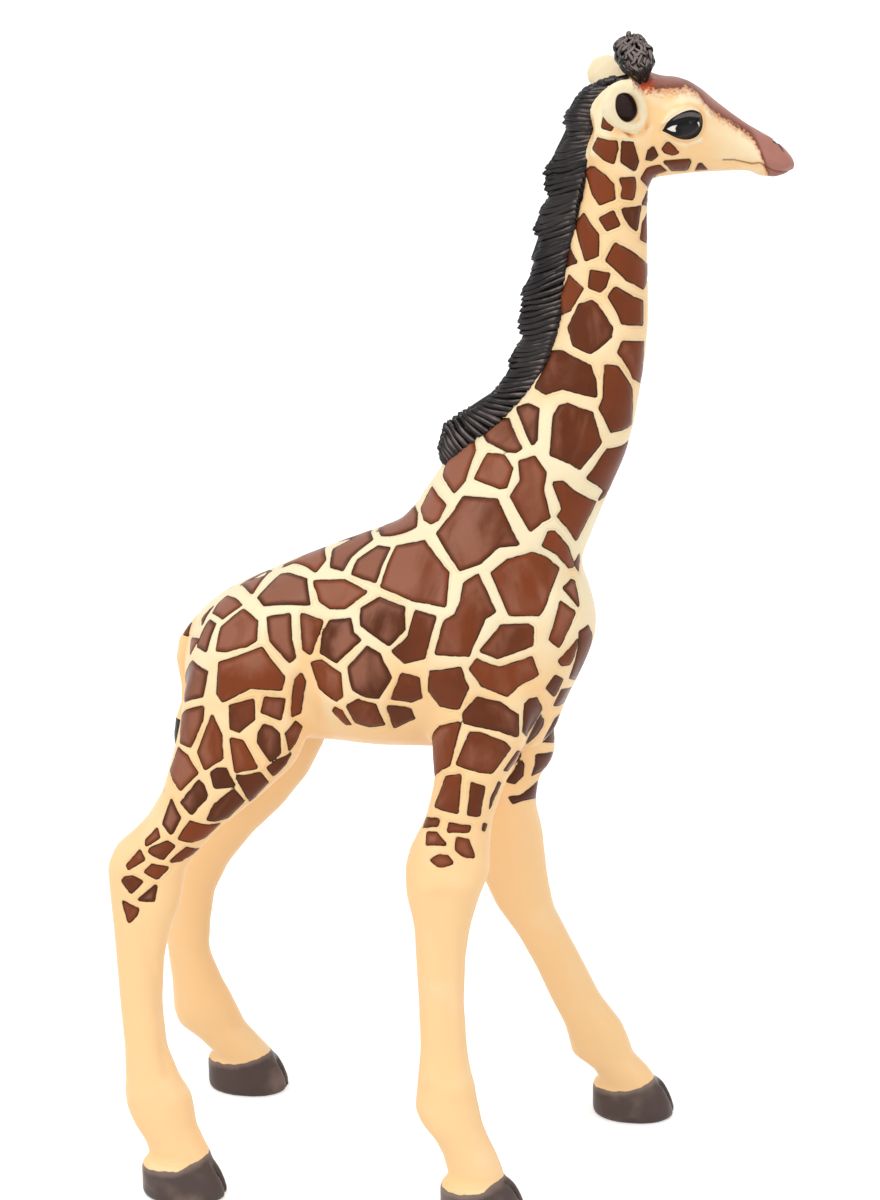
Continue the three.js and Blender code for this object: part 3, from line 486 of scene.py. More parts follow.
LEG_PATCHES = (
    ((432, 737), (440, 727), (459, 723), (449, 765), (432, 777), (429, 755)),
    ((470, 733), (480, 733), (505, 743), (510, 749), (492, 773), (480, 772), (457, 764)),
    ((446, 777), (460, 775), (457, 813), (435, 806)),
    ((472, 783), (484, 787), (479, 816), (469, 815)),
    ((425, 819), (439, 820), (437, 825), (423, 826)),
    ((449, 824), (470, 827), (469, 831), (448, 831)),
    ((484, 824), (487, 825), (485, 831), (483, 830)),
    ((427, 833), (436, 833), (445, 844), (426, 844)),
    ((457, 838), (468, 840), (474, 857), (466, 857), (456, 850)),
    ((431, 860), (440, 855), (448, 857), (452, 863), (443, 867), (437, 866)),
    ((231, 739), (242, 741), (257, 768), (236, 772)),
    ((178, 748), (187, 756), (197, 773), (180, 790), (170, 770)),
    ((211, 773), (217, 769), (226, 769), (234, 786), (215, 788)),
    ((237, 777), (260, 773), (268, 783), (251, 801)),
    ((268, 768), (278, 760), (291, 754), (286, 764), (274, 776)),
    ((199, 781), (203, 785), (207, 796), (191, 814), (181, 803)),
    ((234, 790), (244, 801), (228, 818), (215, 821), (208, 820), (214, 805), (221, 800)),
    ((171, 800), (180, 818), (171, 834), (163, 824)),
    ((190, 822), (208, 826), (220, 824), (205, 838), (192, 842), (179, 839)),
    ((157, 829), (159, 837), (146, 845), (146, 841)),
    ((168, 842), (174, 846), (163, 859), (158, 858), (149, 852), (150, 849)),
    ((187, 848), (199, 849), (180, 861), (171, 862)),
    ((140, 851), (144, 859), (128, 869), (127, 866)),
    ((152, 865), (168, 868), (157, 879), (145, 872)),
    ((124, 878), (133, 877), (142, 882), (131, 893), (122, 881)),
    ((156, 886), (154, 901), (139, 900)),
    ((123, 902), (138, 909), (136, 916), (129, 922)),
)
CREASE_PATCHES = (
    ((525, 704), (530, 699), (537, 698), (541, 705), (542, 710), (527, 736), (523, 732), (524, 718)),
    ((541, 715), (544, 720), (543, 726), (537, 735), (526, 745), (533, 730)),
    ((562, 714), (556, 718), (551, 728), (543, 742), (556, 742), (564, 732)),
    ((572, 688), (562, 690), (554, 706), (560, 706), (568, 698)),
    ((536, 755), (556, 752), (548, 768), (532, 776), (535, 765)),
    ((518, 751), (521, 752), (520, 758), (508, 771), (504, 771)),
    ((521, 759), (524, 765), (523, 776), (515, 784), (506, 782), (513, 772)),
    ((540, 780), (540, 797), (525, 800), (513, 804), (508, 797), (520, 796), (530, 789)),
    ((499, 782), (501, 784), (496, 796), (490, 809), (491, 799)),
)
PAINT_SEED = 7
CORNER_ROUNDING = 0.12 * MM
SHORTEST_CORNER_SHARE = 0.5
UNPAINTED = -5 * MM
PATCH_GROWTH = 0.08 * MM
PATCH_SEARCH_SHARE = 1.3
PATCH_SEARCH_SLACK = 1.5 * MM
LEAST_FACING = 0.05
FACING_UP = 0.6
FACING_STRAIGHT_UP = 0.9
CROWDED_SHARE = 0.8
SEEN_SLACK = 3 * MM
# The head's turn and the levels between which it grows, and how the two sides differ.
HEAD_AXIS = 20.04 * MM
HEAD_TURN = radians(14)
TURN_LEVELS = (118 * MM, 126 * MM)
MIDDLE_BAND = 1.5 * MM
LEG_DIVIDE = -10 * MM
LEG_TOP = 58 * MM
LEG_LEVELS = np.linspace(LEG_TOP * 0.4, LEG_TOP, 12)
LEG_SLAB = 2 * MM
HAND_WAVE = 23 * MM
HAND_PHASES = (0.4, 1.9, 4.1)
HAND_REACH = 0.9 * MM
HAND_FADE = 5 * MM
# Where the horn of a hoof begins, from its heel to its toe.
HOOF_SEARCH = 9 * MM
HOOF_SHARES = (0.0, 0.25, 0.55, 0.8, 1.0)
HOOF_LEVELS = np.array((4.1, 4.0, 4.4, 5.4, 6.0)) * MM
# Grooves round the patches, the mist by level, painted shade in hollows and on what faces down, and the
# painted sheen on what faces up.
GROOVE_REACH = np.array((-0.3, -0.02, 0.45)) * MM
GROOVE_DEPTH = 0.09 * MM
HOLLOW_ROUNDS = 60
HOLLOW_REACH = 0.35 * MM
HOLLOW_SPAN = (-0.3, 1)
HOLLOW_PAINTED_SHADE = 0.9
MIST_LEVELS = np.array((40, 56, 66, 76, 84, 92, 100, 134)) * MM
MIST_SHARES = (1.2, 1.05, 0.85, 0.35, 0.2, 0.45, 0.8, 0.9)
UNDERSIDE_PAINTED_SHADE = 0.25
SEAM_FADE = 4 * MM
SHEEN_FACING = (-0.1, 0.55)
SHEEN_LEVELS = np.array((90, 104)) * MM
SHEEN_SHARES = (1, 0.3)


def unit(vector):
    """A vector of the same direction and the length 1."""
    return vector / np.linalg.norm(vector)


def polygon_depth(points, polygon):
    """How far points of a plane lie inside a polygon, below zero outside."""
    rim = np.vstack((polygon, polygon[:1]))
    nearest = from_line(points, rim)
    inside = np.zeros(len(points), bool)
    for (x0, y0), (x1, y1) in zip(rim, rim[1:]):
        crosses = (y0 > points[:, 1]) != (y1 > points[:, 1])
        slope = (x1 - x0) / (y1 - y0 if y1 != y0 else 1)
        inside ^= crosses & (points[:, 0] - x0 < (points[:, 1] - y0) * slope)
    return np.where(inside, nearest, -nearest)


def patch_depth(places, normals, corner_places, facing, least_facing, rounding):
    """How deep places on a skin lie in a patch, laid flat in its own plane, and which are near it."""
    middle = corner_places.mean(axis=0)
    reach = np.linalg.norm(corner_places - middle, axis=1).max()
    close = np.linalg.norm(places - middle, axis=1) < reach * PATCH_SEARCH_SHARE + PATCH_SEARCH_SLACK
    near = np.flatnonzero(close & (normals @ facing > least_facing))
    across = unit(np.cross(facing, (0, 0, 1) if abs(facing[2]) < FACING_STRAIGHT_UP else (1, 0, 0)))
    flat = np.stack((across, np.cross(facing, across)), axis=1)
    corners = (corner_places - middle) @ flat
    shorter = 1 - rounding / np.linalg.norm(corners, axis=1, keepdims=True)
    corners *= shorter.clip(SHORTEST_CORNER_SHARE)
    return near, polygon_depth((places[near] - middle) @ flat, corners) + rounding


def side_shift(places):
    """How much further forward the left legs stand than the right ones, at the level of each place."""
    shift = np.zeros(len(places))
    for hind in (True, False):
        same = (places[:, 0] < LEG_DIVIDE) == hind
        steps = []
        for level in LEG_LEVELS:
            slab = places[same & (abs(places[:, 2] - level) < LEG_SLAB)]
            steps.append(slab[slab[:, 1] > 0, 0].mean() - slab[slab[:, 1] < 0, 0].mean())
        steps[-1] = 0
        shift[same] = np.interp(places[same, 2], LEG_LEVELS, steps)
    return shift


def hand_shift(places):
    """Shifts of up to a millimetre, by which one side's patches differ from the other's."""
    waves = np.sin(2 * pi * places[:, [1, 2, 0]] / HAND_WAVE + HAND_PHASES)
    fade = np.clip(abs(places[:, 1]) / HAND_FADE, 0, 1)
    fade *= np.clip((TURN_LEVELS[0] - places[:, 2]) / HAND_FADE, 0, 1)
    return HAND_REACH * waves * fade[:, None]


def other_side(places, normals):
    """The mirror's places and normals: mirrored at the neck's middle, and at the turned head's above it."""
    turn = 2 * HEAD_TURN * np.interp(places[:, 2], TURN_LEVELS, (0, 1))
    flipped = []
    for vectors, axis in ((places, HEAD_AXIS), (normals, 0)):
        ahead, left, up = (vectors - (axis, 0, 0)).T
        flipped.append(np.stack((axis + np.cos(turn) * ahead + np.sin(turn) * left,
                                 np.sin(turn) * ahead - np.cos(turn) * left, up), axis=1))
    return flipped


def painted_depth(places, normals, polygons, tree, mirror, rounding, least_facing=LEAST_FACING):
    """How deep each place of a skin lies in the nearest patch, and a tone that is one for each patch.

    The other side's patches are looked for at the mirror's places and normals."""
    depth = np.full(len(places), UNPAINTED)
    tone = np.zeros(len(places))
    tones = np.random.default_rng(PAINT_SEED).uniform(0, 1, 2 * len(polygons))
    laid = []
    for polygon in polygons:
        seen = [seen_place(tree, pixel) for pixel in polygon]
        facing = unit(np.mean([normal for _, normal in seen], axis=0))
        laid.append((np.array([place for place, _ in seen]), facing))
    middles = np.array([corners.mean(axis=0) for corners, _ in laid])
    for index, (corners, facing) in enumerate(laid):
        reach = np.linalg.norm(corners - middles[index], axis=1).max()
        crowded = np.linalg.norm(middles - middles[index] * (1, -1, 1), axis=1)
        crowded[index] = np.inf
        sides = [(places, normals)]
        alone = middles[index][1] < -MIDDLE_BAND and crowded.min() > reach * CROWDED_SHARE
        if alone or facing[2] > FACING_UP:
            sides.append(mirror)
        for side, (from_places, from_normals) in enumerate(sides):
            near, deep = patch_depth(from_places, from_normals, corners, facing, least_facing, rounding)
            deeper = deep > depth[near]
            tone[near[deeper]] = tones[2 * index + side]
            depth[near] = np.maximum(depth[near], deep)
    return depth, tone


def seen_depth(places, normals, polygons, tree):
    """How deep places that face the camera lie in patches which it sees across a hollow."""
    depth = np.full(len(places), UNPAINTED)
    rays = places - np.array(camera.location)
    ahead = -rays @ np.array(camera_back)
    pixels = np.stack((rays @ np.array(camera_right), -rays @ np.array(camera_up)), axis=1)
    pixels = pixels / ahead[:, None] * focal_pixels + np.array((PHOTO_WIDTH, PHOTO_HEIGHT)) / 2
    facing = normals @ np.array(camera_back) > 0
    for polygon in polygons:
        corners = np.array(polygon, float)
        hits = [np.array(seen_place(tree, pixel)[0]) for pixel in polygon]
        span = np.linalg.norm(np.ptp(hits, axis=0)) + SEEN_SLACK
        near = np.flatnonzero(facing & (np.linalg.norm(places - np.mean(hits, axis=0), axis=1) < span))
        deep = polygon_depth(pixels[near], corners) / PIXELS_PER_MM * MM
        depth[near] = np.maximum(depth[near], deep)
    return depth


def hollowness(mesh, places, rounds):
    """How far each place lies below the surface that smoothing gives: above zero in hollows."""
    return ((softened(places, edge_ends(mesh), rounds, 1) - places) * vertex_normals(mesh)).sum(axis=1)


def hoof_depth(places):
    """How far each place lies below the line where hair ends and the horn of its hoof begins."""
    depth = np.full(len(places), UNPAINTED)
    for node in LEGS:
        low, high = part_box(node)
        middle = (low.y + high.y) / 2
        foot = (places[:, 2] < HOOF_SEARCH) & (abs(places[:, 1] - middle) < (high.y - low.y) / 2 + MM)
        foot &= (places[:, 0] < LEG_DIVIDE) == ("hind" in node)
        along = places[foot, 0]
        share = (along - along.min()) / np.ptp(along)
        depth[foot] = np.interp(share, HOOF_SHARES, HOOF_LEVELS) - places[foot, 2]
    return depth


def give(mesh, **named):
    """Values for the vertices of a mesh, kept under names that the materials read."""
    for name, values in named.items():
        attribute = mesh.attributes.new(name, "FLOAT", "POINT")
        attribute.data.foreach_set("value", np.asarray(values, np.float32))


def sink_outlines(mesh, places, normals, depth):
    """The outlines of the patches pressed into a skin as narrow grooves."""
    sunk = np.interp(depth, GROOVE_REACH, (0, -GROOVE_DEPTH, 0))
    places = places + normals * sunk[:, None]
    set_places(mesh, places)
    return places


def mist_share(places, normals):
    """How much peach reaches each place: mist by level, most of it on the legs, and painted shade on what
    faces down.
    """
    return np.interp(places[:, 2], MIST_LEVELS, MIST_SHARES) - UNDERSIDE_PAINTED_SHADE * normals[:, 2]


leg_shift = np.where(body_places[:, 1] > 0, side_shift(body_places), 0)[:, None] * (1, 0, 0)
body_tree = tree_over(body_places, body_corners)
plain_mirror, _ = other_side(body_places, vertex_normals(body_skin))
body_places = folded(body_skin, body_places, body_tree, plain_mirror - leg_shift, FOLDS)
set_places(body_skin, body_places)
body_tree = tree_over(body_places, body_corners)
body_normals = vertex_normals(body_skin)
mirror_places, mirror_normals = other_side(body_places + hand_shift(body_places), body_normals)
mirror_places -= leg_shift
body_depth, body_tone = painted_depth(body_places, body_normals, NECK_PATCHES + TRUNK_PATCHES + LEG_PATCHES,
                                      body_tree, (mirror_places, mirror_normals), CORNER_ROUNDING)
body_depth += PATCH_GROWTH
body_depth = np.maximum(body_depth, seen_depth(body_places, body_normals, CREASE_PATCHES, body_tree))
head_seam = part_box("neck")[1].z
# Hollows of the body take more of the peach as painted shade, fading out towards the head's seam.
body_hollow = (hollowness(body_skin, body_places, HOLLOW_ROUNDS) / HOLLOW_REACH).clip(*HOLLOW_SPAN)
body_hollow *= ((head_seam - body_places[:, 2]) / SEAM_FADE).clip(0, 1)
body_mist = mist_share(body_places, body_normals) + HOLLOW_PAINTED_SHADE * body_hollow
give(body_skin, mist=body_mist, hoof=hoof_depth(body_places) / MM)
body_places = sink_outlines(body_skin, body_places, body_normals, body_depth)
# Patches that face up, on the trunk and low on the neck, take a painted sheen.
body_dust = np.interp(body_normals[:, 2], SHEEN_FACING, (0, 1))
body_dust *= np.interp(body_places[:, 2], SHEEN_LEVELS, SHEEN_SHARES)
give(body_skin, patch=body_depth / MM, dust=body_dust, tone=body_tone)


# Coat paint
# The vinyl is cast in its cream ground colour, warmer down the legs, where orange is misted on, and the same
# peach is laid in hollows and on what faces down as painted shade. The brown of the patches and the grey of
# the hoofs are brushed on, and all of it dries to a satin. Slanted streaks of a paler brown lie over the
# patches,
# strongest where the back faces up: a painted sheen.
CREAM = linear(248, 231, 193)
PEACH = linear(253, 210, 154)
PATCH_LIGHT = linear(130, 60, 24)
PATCH_DARK = linear(82, 37, 11)
PATCH_SHEEN = linear(158, 104, 82)
OUTLINE = linear(52, 30, 8)
NET_SHADE = linear(190, 160, 96)
HOOF_GREY = linear(84, 70, 66)
HOOF_LIGHT = linear(132, 114, 106)
PAINT_GLOSS = 0.16
THICKNESS_SCALE = 180.0
STREAK_SCALE = 260.0
STREAK_DISTORTION = 0.6
STREAK_SLANT = (0, radians(35), 0)
STREAK_STRETCH = (1, 1, 0.45)
NOISE_DETAILS = (2, 3, 4)
COAT_WAVE_SCALE = 900.0
EDGE_WAVER = 0.14
HOOF_WAVER = 0.5
SHEEN_WEIGHT = 0.42
PAINT_THICKNESS = 0.05
# Each ease is from where to where its input goes, and what it gives there if not 0 and 1. Depths are
# in millimetres inside a patch's edge. A band rises between its first two and falls between the others.
MIST_AND_SHADE_EASE = (0.55, 1.45)
BROKEN_EASE = (0.46, 0.62, 0, 0.35)
NET_LINE_BAND = (-0.44, -0.34, -0.34, -0.26)
TONE_EASE = (0.3, 1.7)
SHEEN_EASE = (0.52, 0.9, 0, 0.75)
SHEEN_EDGE_EASE = (0.1, 0.7)
PATCH_EASE = (-0.06, 0.0)
OUTLINE_BAND = (-0.12, -0.05, 0.03, 0.12)
PRESSED_EASE = (-0.2, 0.0, 0.6, 1)
HOOF_EASE = (-0.05, 0.05)
HOOF_TOP_LIGHT_EASE = (0.1, 0.9, 0.8, 0)
HOOF_WEAR_EASE = (0.45, 0.7, 0, 0.7)
GROOVE_FALL_EASE = (-0.24, -0.06, 0, -0.07)
GROOVE_RISE_EASE = (-0.06, 0.3, 0, 0.07)
NET_SWELL_EASE = (-0.9, -0.3, 0.04, 0)
SATIN_EASE = (0.35, 0.65, 0.28, 0.42)


def ramp(tree, value, low, high, to_low=0.0, to_high=1.0):
    """A value eased from one number to another while the input goes from low to high."""
    return add_node(tree, "ShaderNodeMapRange", {"interpolation_type": "SMOOTHSTEP"}, Value=value,
                    From_Min=low, From_Max=high, To_Min=to_low, To_Max=to_high).outputs[0]


def band(tree, value, start, full, highlight_lift, end):
    """1 in a band of the input, with eased sides."""
    return product_of(tree, ramp(tree, value, start, full), ramp(tree, value, highlight_lift, end, 1, 0))


def over(tree, mask, below, above):
    """One colour laid over another through a mask."""
    return add_node(tree, "ShaderNodeMix", {"data_type": "RGBA"}, i0=mask, i6=below, i7=above).outputs[2]


def read(tree, name):
    """The value that a mesh keeps under a name."""
    return add_node(tree, "ShaderNodeAttribute", {"attribute_name": name}).outputs["Fac"]


def hand_paint_group():
    """A node group: how a brushed edge wavers, and how thick and in what streaks the paint lies."""
    group = bpy.data.node_groups.new("hand_paint", "ShaderNodeTree")
    group.interface.new_socket("Wave Scale", in_out="INPUT", socket_type="NodeSocketFloat")
    for name in ("Waver", "Thickness", "Streaks"):
        group.interface.new_socket(name, in_out="OUTPUT", socket_type="NodeSocketFloat")
    entry = group.nodes.new("NodeGroupInput")
    leave = group.nodes.new("NodeGroupOutput")
    place = add_node(group, "ShaderNodeTexCoord").outputs["Object"]
    slanted = add_node(group, "ShaderNodeMapping", Vector=place, Rotation=STREAK_SLANT,
                       Scale=STREAK_STRETCH)
    waves = add_node(group, "ShaderNodeTexNoise", Vector=place, Scale=entry.outputs[0])
    broad = add_node(group, "ShaderNodeTexNoise", Vector=place, Scale=THICKNESS_SCALE)
    streaks = add_node(group, "ShaderNodeTexNoise", Vector=slanted.outputs[0], Scale=STREAK_SCALE,
                       Distortion=STREAK_DISTORTION)
    for noise, detail in zip((waves, broad, streaks), NOISE_DETAILS):
        noise.inputs["Detail"].default_value = detail
    group.links.new(worked_out(group, "SUBTRACT", waves.outputs["Fac"], 0.5), leave.inputs["Waver"])
    group.links.new(broad.outputs["Fac"], leave.inputs["Thickness"])
    group.links.new(streaks.outputs["Fac"], leave.inputs["Streaks"])
    return group


HAND_PAINT = hand_paint_group()


def paint_coat(tree):
    """The coat's colour, roughness and height, as sockets of a material's tree."""
    brush = add_node(tree, "ShaderNodeGroup", {"node_tree": HAND_PAINT}, Wave_Scale=COAT_WAVE_SCALE).outputs
    waver, thickness, streaks = brush["Waver"], brush["Thickness"], brush["Streaks"]
    depth = sum_of(tree, read(tree, "patch"), product_of(tree, waver, EDGE_WAVER))
    # Peach over the cream: mist by level, and painted shade in hollows and on what faces down.
    mist = ramp(tree, sum_of(tree, read(tree, "mist"), thickness), *MIST_AND_SHADE_EASE)
    net_line = product_of(tree, band(tree, depth, *NET_LINE_BAND), ramp(tree, thickness, *BROKEN_EASE))
    ground = over(tree, net_line, over(tree, mist, CREAM, PEACH), NET_SHADE)

    lightness = ramp(tree, sum_of(tree, read(tree, "tone"), thickness), *TONE_EASE)
    # A paler brown in streaks over the patches, strongest where they face up: a painted sheen.
    dusted = sum_of(tree, streaks, product_of(tree, read(tree, "dust"), SHEEN_WEIGHT))
    dust = product_of(tree, ramp(tree, dusted, *SHEEN_EASE), ramp(tree, depth, *SHEEN_EDGE_EASE))
    brown = over(tree, dust, over(tree, lightness, PATCH_DARK, PATCH_LIGHT), PATCH_SHEEN)
    colour = over(tree, ramp(tree, depth, *PATCH_EASE), ground, brown)
    outline = product_of(tree, band(tree, depth, *OUTLINE_BAND), ramp(tree, waver, *PRESSED_EASE))
    colour = over(tree, outline, colour, OUTLINE)

    hoof = sum_of(tree, read(tree, "hoof"), product_of(tree, waver, HOOF_WAVER))
    # The hoof's grey lightens just under the hair line, a painted highlight on its top, and in random worn
    # spots.
    worn_and_lit = sum_of(tree, ramp(tree, hoof, *HOOF_TOP_LIGHT_EASE), ramp(tree, thickness, *HOOF_WEAR_EASE))
    horn = over(tree, worn_and_lit, HOOF_GREY, HOOF_LIGHT)
    colour = over(tree, ramp(tree, hoof, *HOOF_EASE), colour, horn)

    groove = sum_of(tree, ramp(tree, depth, *GROOVE_FALL_EASE), ramp(tree, depth, *GROOVE_RISE_EASE))
    height = sum_of(tree, sum_of(tree, groove, ramp(tree, depth, *NET_SWELL_EASE)),
                    product_of(tree, thickness, PAINT_THICKNESS))
    return colour, ramp(tree, streaks, *SATIN_EASE), height


def finish_paint(tree, output, colour, roughness, height, gloss=PAINT_GLOSS):
    """The painted surface itself, with its fine relief."""
    bump = add_node(tree, "ShaderNodeBump", Height=height, Strength=1.0, Distance=1 * MM)
    surface = add_node(tree, "ShaderNodeBsdfPrincipled", Base_Color=colour, Roughness=roughness,
                       Specular_IOR_Level=gloss, Normal=bump.outputs[0])
    tree.links.new(surface.outputs[0], output.inputs["Surface"])


coat_paint, tree, output = new_material("coat_paint")
finish_paint(tree, output, *paint_coat(tree))


# Mouldings of the body
# Each moulding ends at the flat seam where it was glued to its neighbour. The filled seams don't
# show, so the surface runs on over them with unbroken shading.
PEG_LENGTH = 4 * MM
RAGGED_REACH = 2 * BODY_GRAIN


def trim_to_level(skin, mask, level):
    """The ragged border of some faces of a skin brought to a flat level."""
    corners = values_of(skin.loops, "vertex_index", 1, int)
    chosen = np.repeat(mask, values_of(skin.polygons, "loop_total", 1, int)[:, 0])
    border = np.intersect1d(corners[chosen], corners[~chosen])
    for index in border:
        if abs(skin.vertices[index].co.z - level) < RAGGED_REACH:
            skin.vertices[index].co.z = level


def cut_out(skin, mask, name):
    """Some faces of a skin as a mesh, closed by a fan over each open rim and shaded as on the skin."""
    work = bmesh.new()
    work.from_mesh(skin)
    work.faces.ensure_lookup_table()
    bmesh.ops.delete(work, geom=[work.faces[i] for i in np.flatnonzero(~mask)], context="FACES")
    ahead_of = {}
    for edge in work.edges:
        if edge.is_boundary:
            loop = edge.link_loops[0]
            ahead_of.setdefault(loop.link_loop_next.vert, []).append(loop.vert)
    while ahead_of:
        walk = [next(iter(ahead_of))]
        while walk[-1] not in walk[:-1]:
            walk.append(ahead_of[walk[-1]][-1])
        rim = walk[walk.index(walk[-1]):]
        middle = work.verts.new(sum((vert.co for vert in rim[1:]), Vector()) / (len(rim) - 1))
        for first, second in zip(rim, rim[1:]):
            work.faces.new((first, second, middle))
            ahead_of[first].pop()
            if not ahead_of[first]:
                del ahead_of[first]
    mesh = bpy.data.meshes.new(name)
    work.to_mesh(mesh)
    work.free()
    mesh.polygons.foreach_set("use_smooth", np.ones(len(mesh.polygons), bool))
    kept = mesh.attributes["skin_normal"]
    mesh.normals_split_custom_set_from_vertices(values_of(kept.data, "vector", 3, np.float32).tolist())
    mesh.attributes.remove(mesh.attributes["skin_normal"])
    return mesh


def part_off(skin, node, mask, material):
    """Some faces of a skin as one painted moulding that stands for its node."""
    ready(node + "_moulding", cut_out(skin, mask, node + "_moulding"), material, "coat", node)


def ready(name, mesh, material, slot, *nodes):
    """An object with that mesh and material, which stands for some nodes."""
    mesh.materials.append(material)
    piece = new_object(name, mesh)
    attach(piece, "root")
    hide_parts(*nodes)


def keep_normals(skin):
    """A skin's normals kept with its vertices, for the mouldings that it is parted into."""
    attribute = skin.attributes.new("skin_normal", "FLOAT_VECTOR", "POINT")
    attribute.data.foreach_set("vector", vertex_normals(skin).astype(np.float32).ravel())


neck_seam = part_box("torso")[1].z
fore_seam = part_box("torso")[0].z
hind_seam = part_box("right_hindleg")[1].z - PEG_LENGTH

keep_normals(body_skin)
middle_x, middle_y, middle_z = values_of(body_skin.polygons, "center", 3).T
above_head_seam = middle_z > head_seam
is_neck = (middle_z > neck_seam) & ~above_head_seam
is_hind = (middle_z < hind_seam) & (middle_x < LEG_DIVIDE)
is_fore = (middle_z < fore_seam) & (middle_x > LEG_DIVIDE)
for mask, seam in ((above_head_seam, head_seam), (is_neck, neck_seam), (is_hind, hind_seam),
                   (is_fore, fore_seam)):
    trim_to_level(body_skin, mask, seam)
part_off(body_skin, "neck", is_neck, coat_paint)
part_off(body_skin, "torso", ~(above_head_seam | is_neck | is_hind | is_fore), coat_paint)
for side, on_side in (("right", middle_y < 0), ("left", middle_y > 0)):
    part_off(body_skin, side + "_hindleg", is_hind & on_side, coat_paint)
    part_off(body_skin, side + "_foreleg", is_fore & on_side, coat_paint)


# Head and ears
# Skull, jaw and both ears are one casting to the eye, glued on the neck at a flat seam below the jaw.
# The head looks 14 degrees to its left. Face and ear hollows are painted over the same cream ground.
EARS = ("right_ear", "left_ear")
HEAD_GRAIN = 0.14 * MM
HEAD_ROUNDS = 40
HEAD_EASE = 0.75
FINE_EASE = 0.16
EYE_MIDDLE = Vector((6.4, 5.0, 131.3)) * MM
FINE_REACH = (2.6 * MM, 4.2 * MM)
EAR_REACH = 1 * MM
SEAM_BLEND = 2.2 * MM
HEAD_PATCHES = NECK_PATCHES[:12]
FACE_ROUNDING = 0.04 * MM
CUTTING_ROUNDS = 2
CUT_SHARE = 0.25
EAR_HOLLOW_FACING = -0.7
HEAD_HOLLOW_REACH = 0.14 * MM
HEAD_HOLLOW_SPAN = (-1, 0.3)
EAR_MIST_AND_SHADE = -0.5
EMBER_REACH = 1.9 * MM
FAR_OFF = 1
# Rim of the ear, brow, lower lid, nostril, nape and lips, with half widths and heights in millimetres.
FACE_FOLDS = (
    (((606, 100), (611, 89), (623, 84), (636, 89), (643, 101), (646, 113), (641, 124), (630, 129),
      (617, 125), (609, 114), (606, 100)), 0.5, 0.26),
    (((668, 109), (679, 103), (692, 101), (703, 104), (709, 112)), 0.7, 0.2),
    (((664, 135), (673, 142), (686, 145), (699, 140)), 0.4, 0.14),
    (((769, 138), (777, 144)), 0.6, 0.14),
    (((578, 106), (583, 130), (580, 152)), 1.7, -1.15),
    (((744, 168), (756, 171), (766, 176)), 0.6, 0.16),
    (((764, 160), (776, 166), (787, 167)), 0.5, 0.12),
)
STRIPE_EDGE = ((632, 83), (642, 90), (656, 91), (672, 90), (688, 88), (697, 94), (706, 105), (715, 114),
               (727, 121), (740, 129), (751, 137), (757, 146), (761, 156), (764, 163), (766, 171),
               (767, 182))
MOUTH_LINE = ((722, 160), (734, 160), (743, 162), (752, 164), (760, 163), (766, 167), (774, 171),
              (787, 172))
BROW_FOOT = (643, 84)
EYE = ((661, 131), (662, 130), (668, 120), (678, 113), (691, 108), (701, 111), (704, 119), (703, 130),
       (697, 138), (687, 141), (676, 139), (667, 134))
LID_FOLD = ((669, 122), (680, 114), (692, 111), (701, 115), (700, 118), (690, 116), (680, 118))
EYEBALL = ((675, 124), (683, 120), (693, 119), (700, 122), (700, 130), (694, 137), (684, 138), (676, 133))
WHITES = (((667, 129), (672, 126), (677, 125), (675, 128), (676, 132), (671, 131)),
          ((697, 122), (699, 122), (699, 127)))
EAR_HOLLOW = ((616, 95), (624, 92), (632, 95), (637, 104), (638, 114), (633, 121), (626, 123), (619, 118),
              (615, 108))
NOSTRIL = ((771, 133), (776, 135), (781, 140), (782, 144), (777, 142), (772, 138))


def in_head(places):
    """Places as the head itself has them: ahead of the neck, to its left, and up."""
    ahead = places[:, 0] - HEAD_AXIS
    turn = (cos(HEAD_TURN), sin(HEAD_TURN))
    return np.stack((ahead * turn[0] + places[:, 1] * turn[1], places[:, 1] * turn[0] - ahead * turn[1],
                     places[:, 2]), axis=1)


head_parts = [welded(node) for node in ("head", "neck", *EARS)]
head_skin = cast_over(head_parts + [fillings[node] for node in ROOTED if node != "tail"], HEAD_GRAIN)
head_places, head_corners = mesh_arrays(head_skin)
own = in_head(head_places)
from_eye = np.hypot(own[:, 0] - EYE_MIDDLE.x, own[:, 2] - EYE_MIDDLE.z)
ear_tree = surface_tree(*EARS)
skull_tree = surface_tree("head")
to_ear = np.array([ear_tree.find_nearest(place)[3] for place in head_places])
to_skull = np.array([skull_tree.find_nearest(place)[3] for place in head_places])
on_ear = to_ear < to_skull
coarse = np.clip((from_eye - FINE_REACH[0]) / (FINE_REACH[1] - FINE_REACH[0]), 0, 1)
coarse *= np.clip(to_ear / EAR_REACH, 0, 1)
head_places = smoothed(head_places, edge_ends(head_skin), HEAD_ROUNDS,
                       FINE_EASE + (HEAD_EASE - FINE_EASE) * coarse)
blend = np.clip((head_seam + SEAM_BLEND - head_places[:, 2]) / SEAM_BLEND, 0, 1)
for index in np.flatnonzero((blend > 0) & (head_places[:, 2] > head_seam - SEAM_BLEND)):
    near = body_tree.find_nearest(head_places[index])[0]
    head_places[index] += blend[index] * (np.array(near) - head_places[index])
set_places(head_skin, head_places)
head_tree = tree_over(head_places, head_corners)
head_places = folded(head_skin, head_places, head_tree, other_side(head_places, head_places)[0], FACE_FOLDS)
set_places(head_skin, head_places)
head_tree = tree_over(head_places, head_corners)
head_normals = vertex_normals(head_skin)
head_mirror = other_side(head_places, head_normals)
own = in_head(head_places)


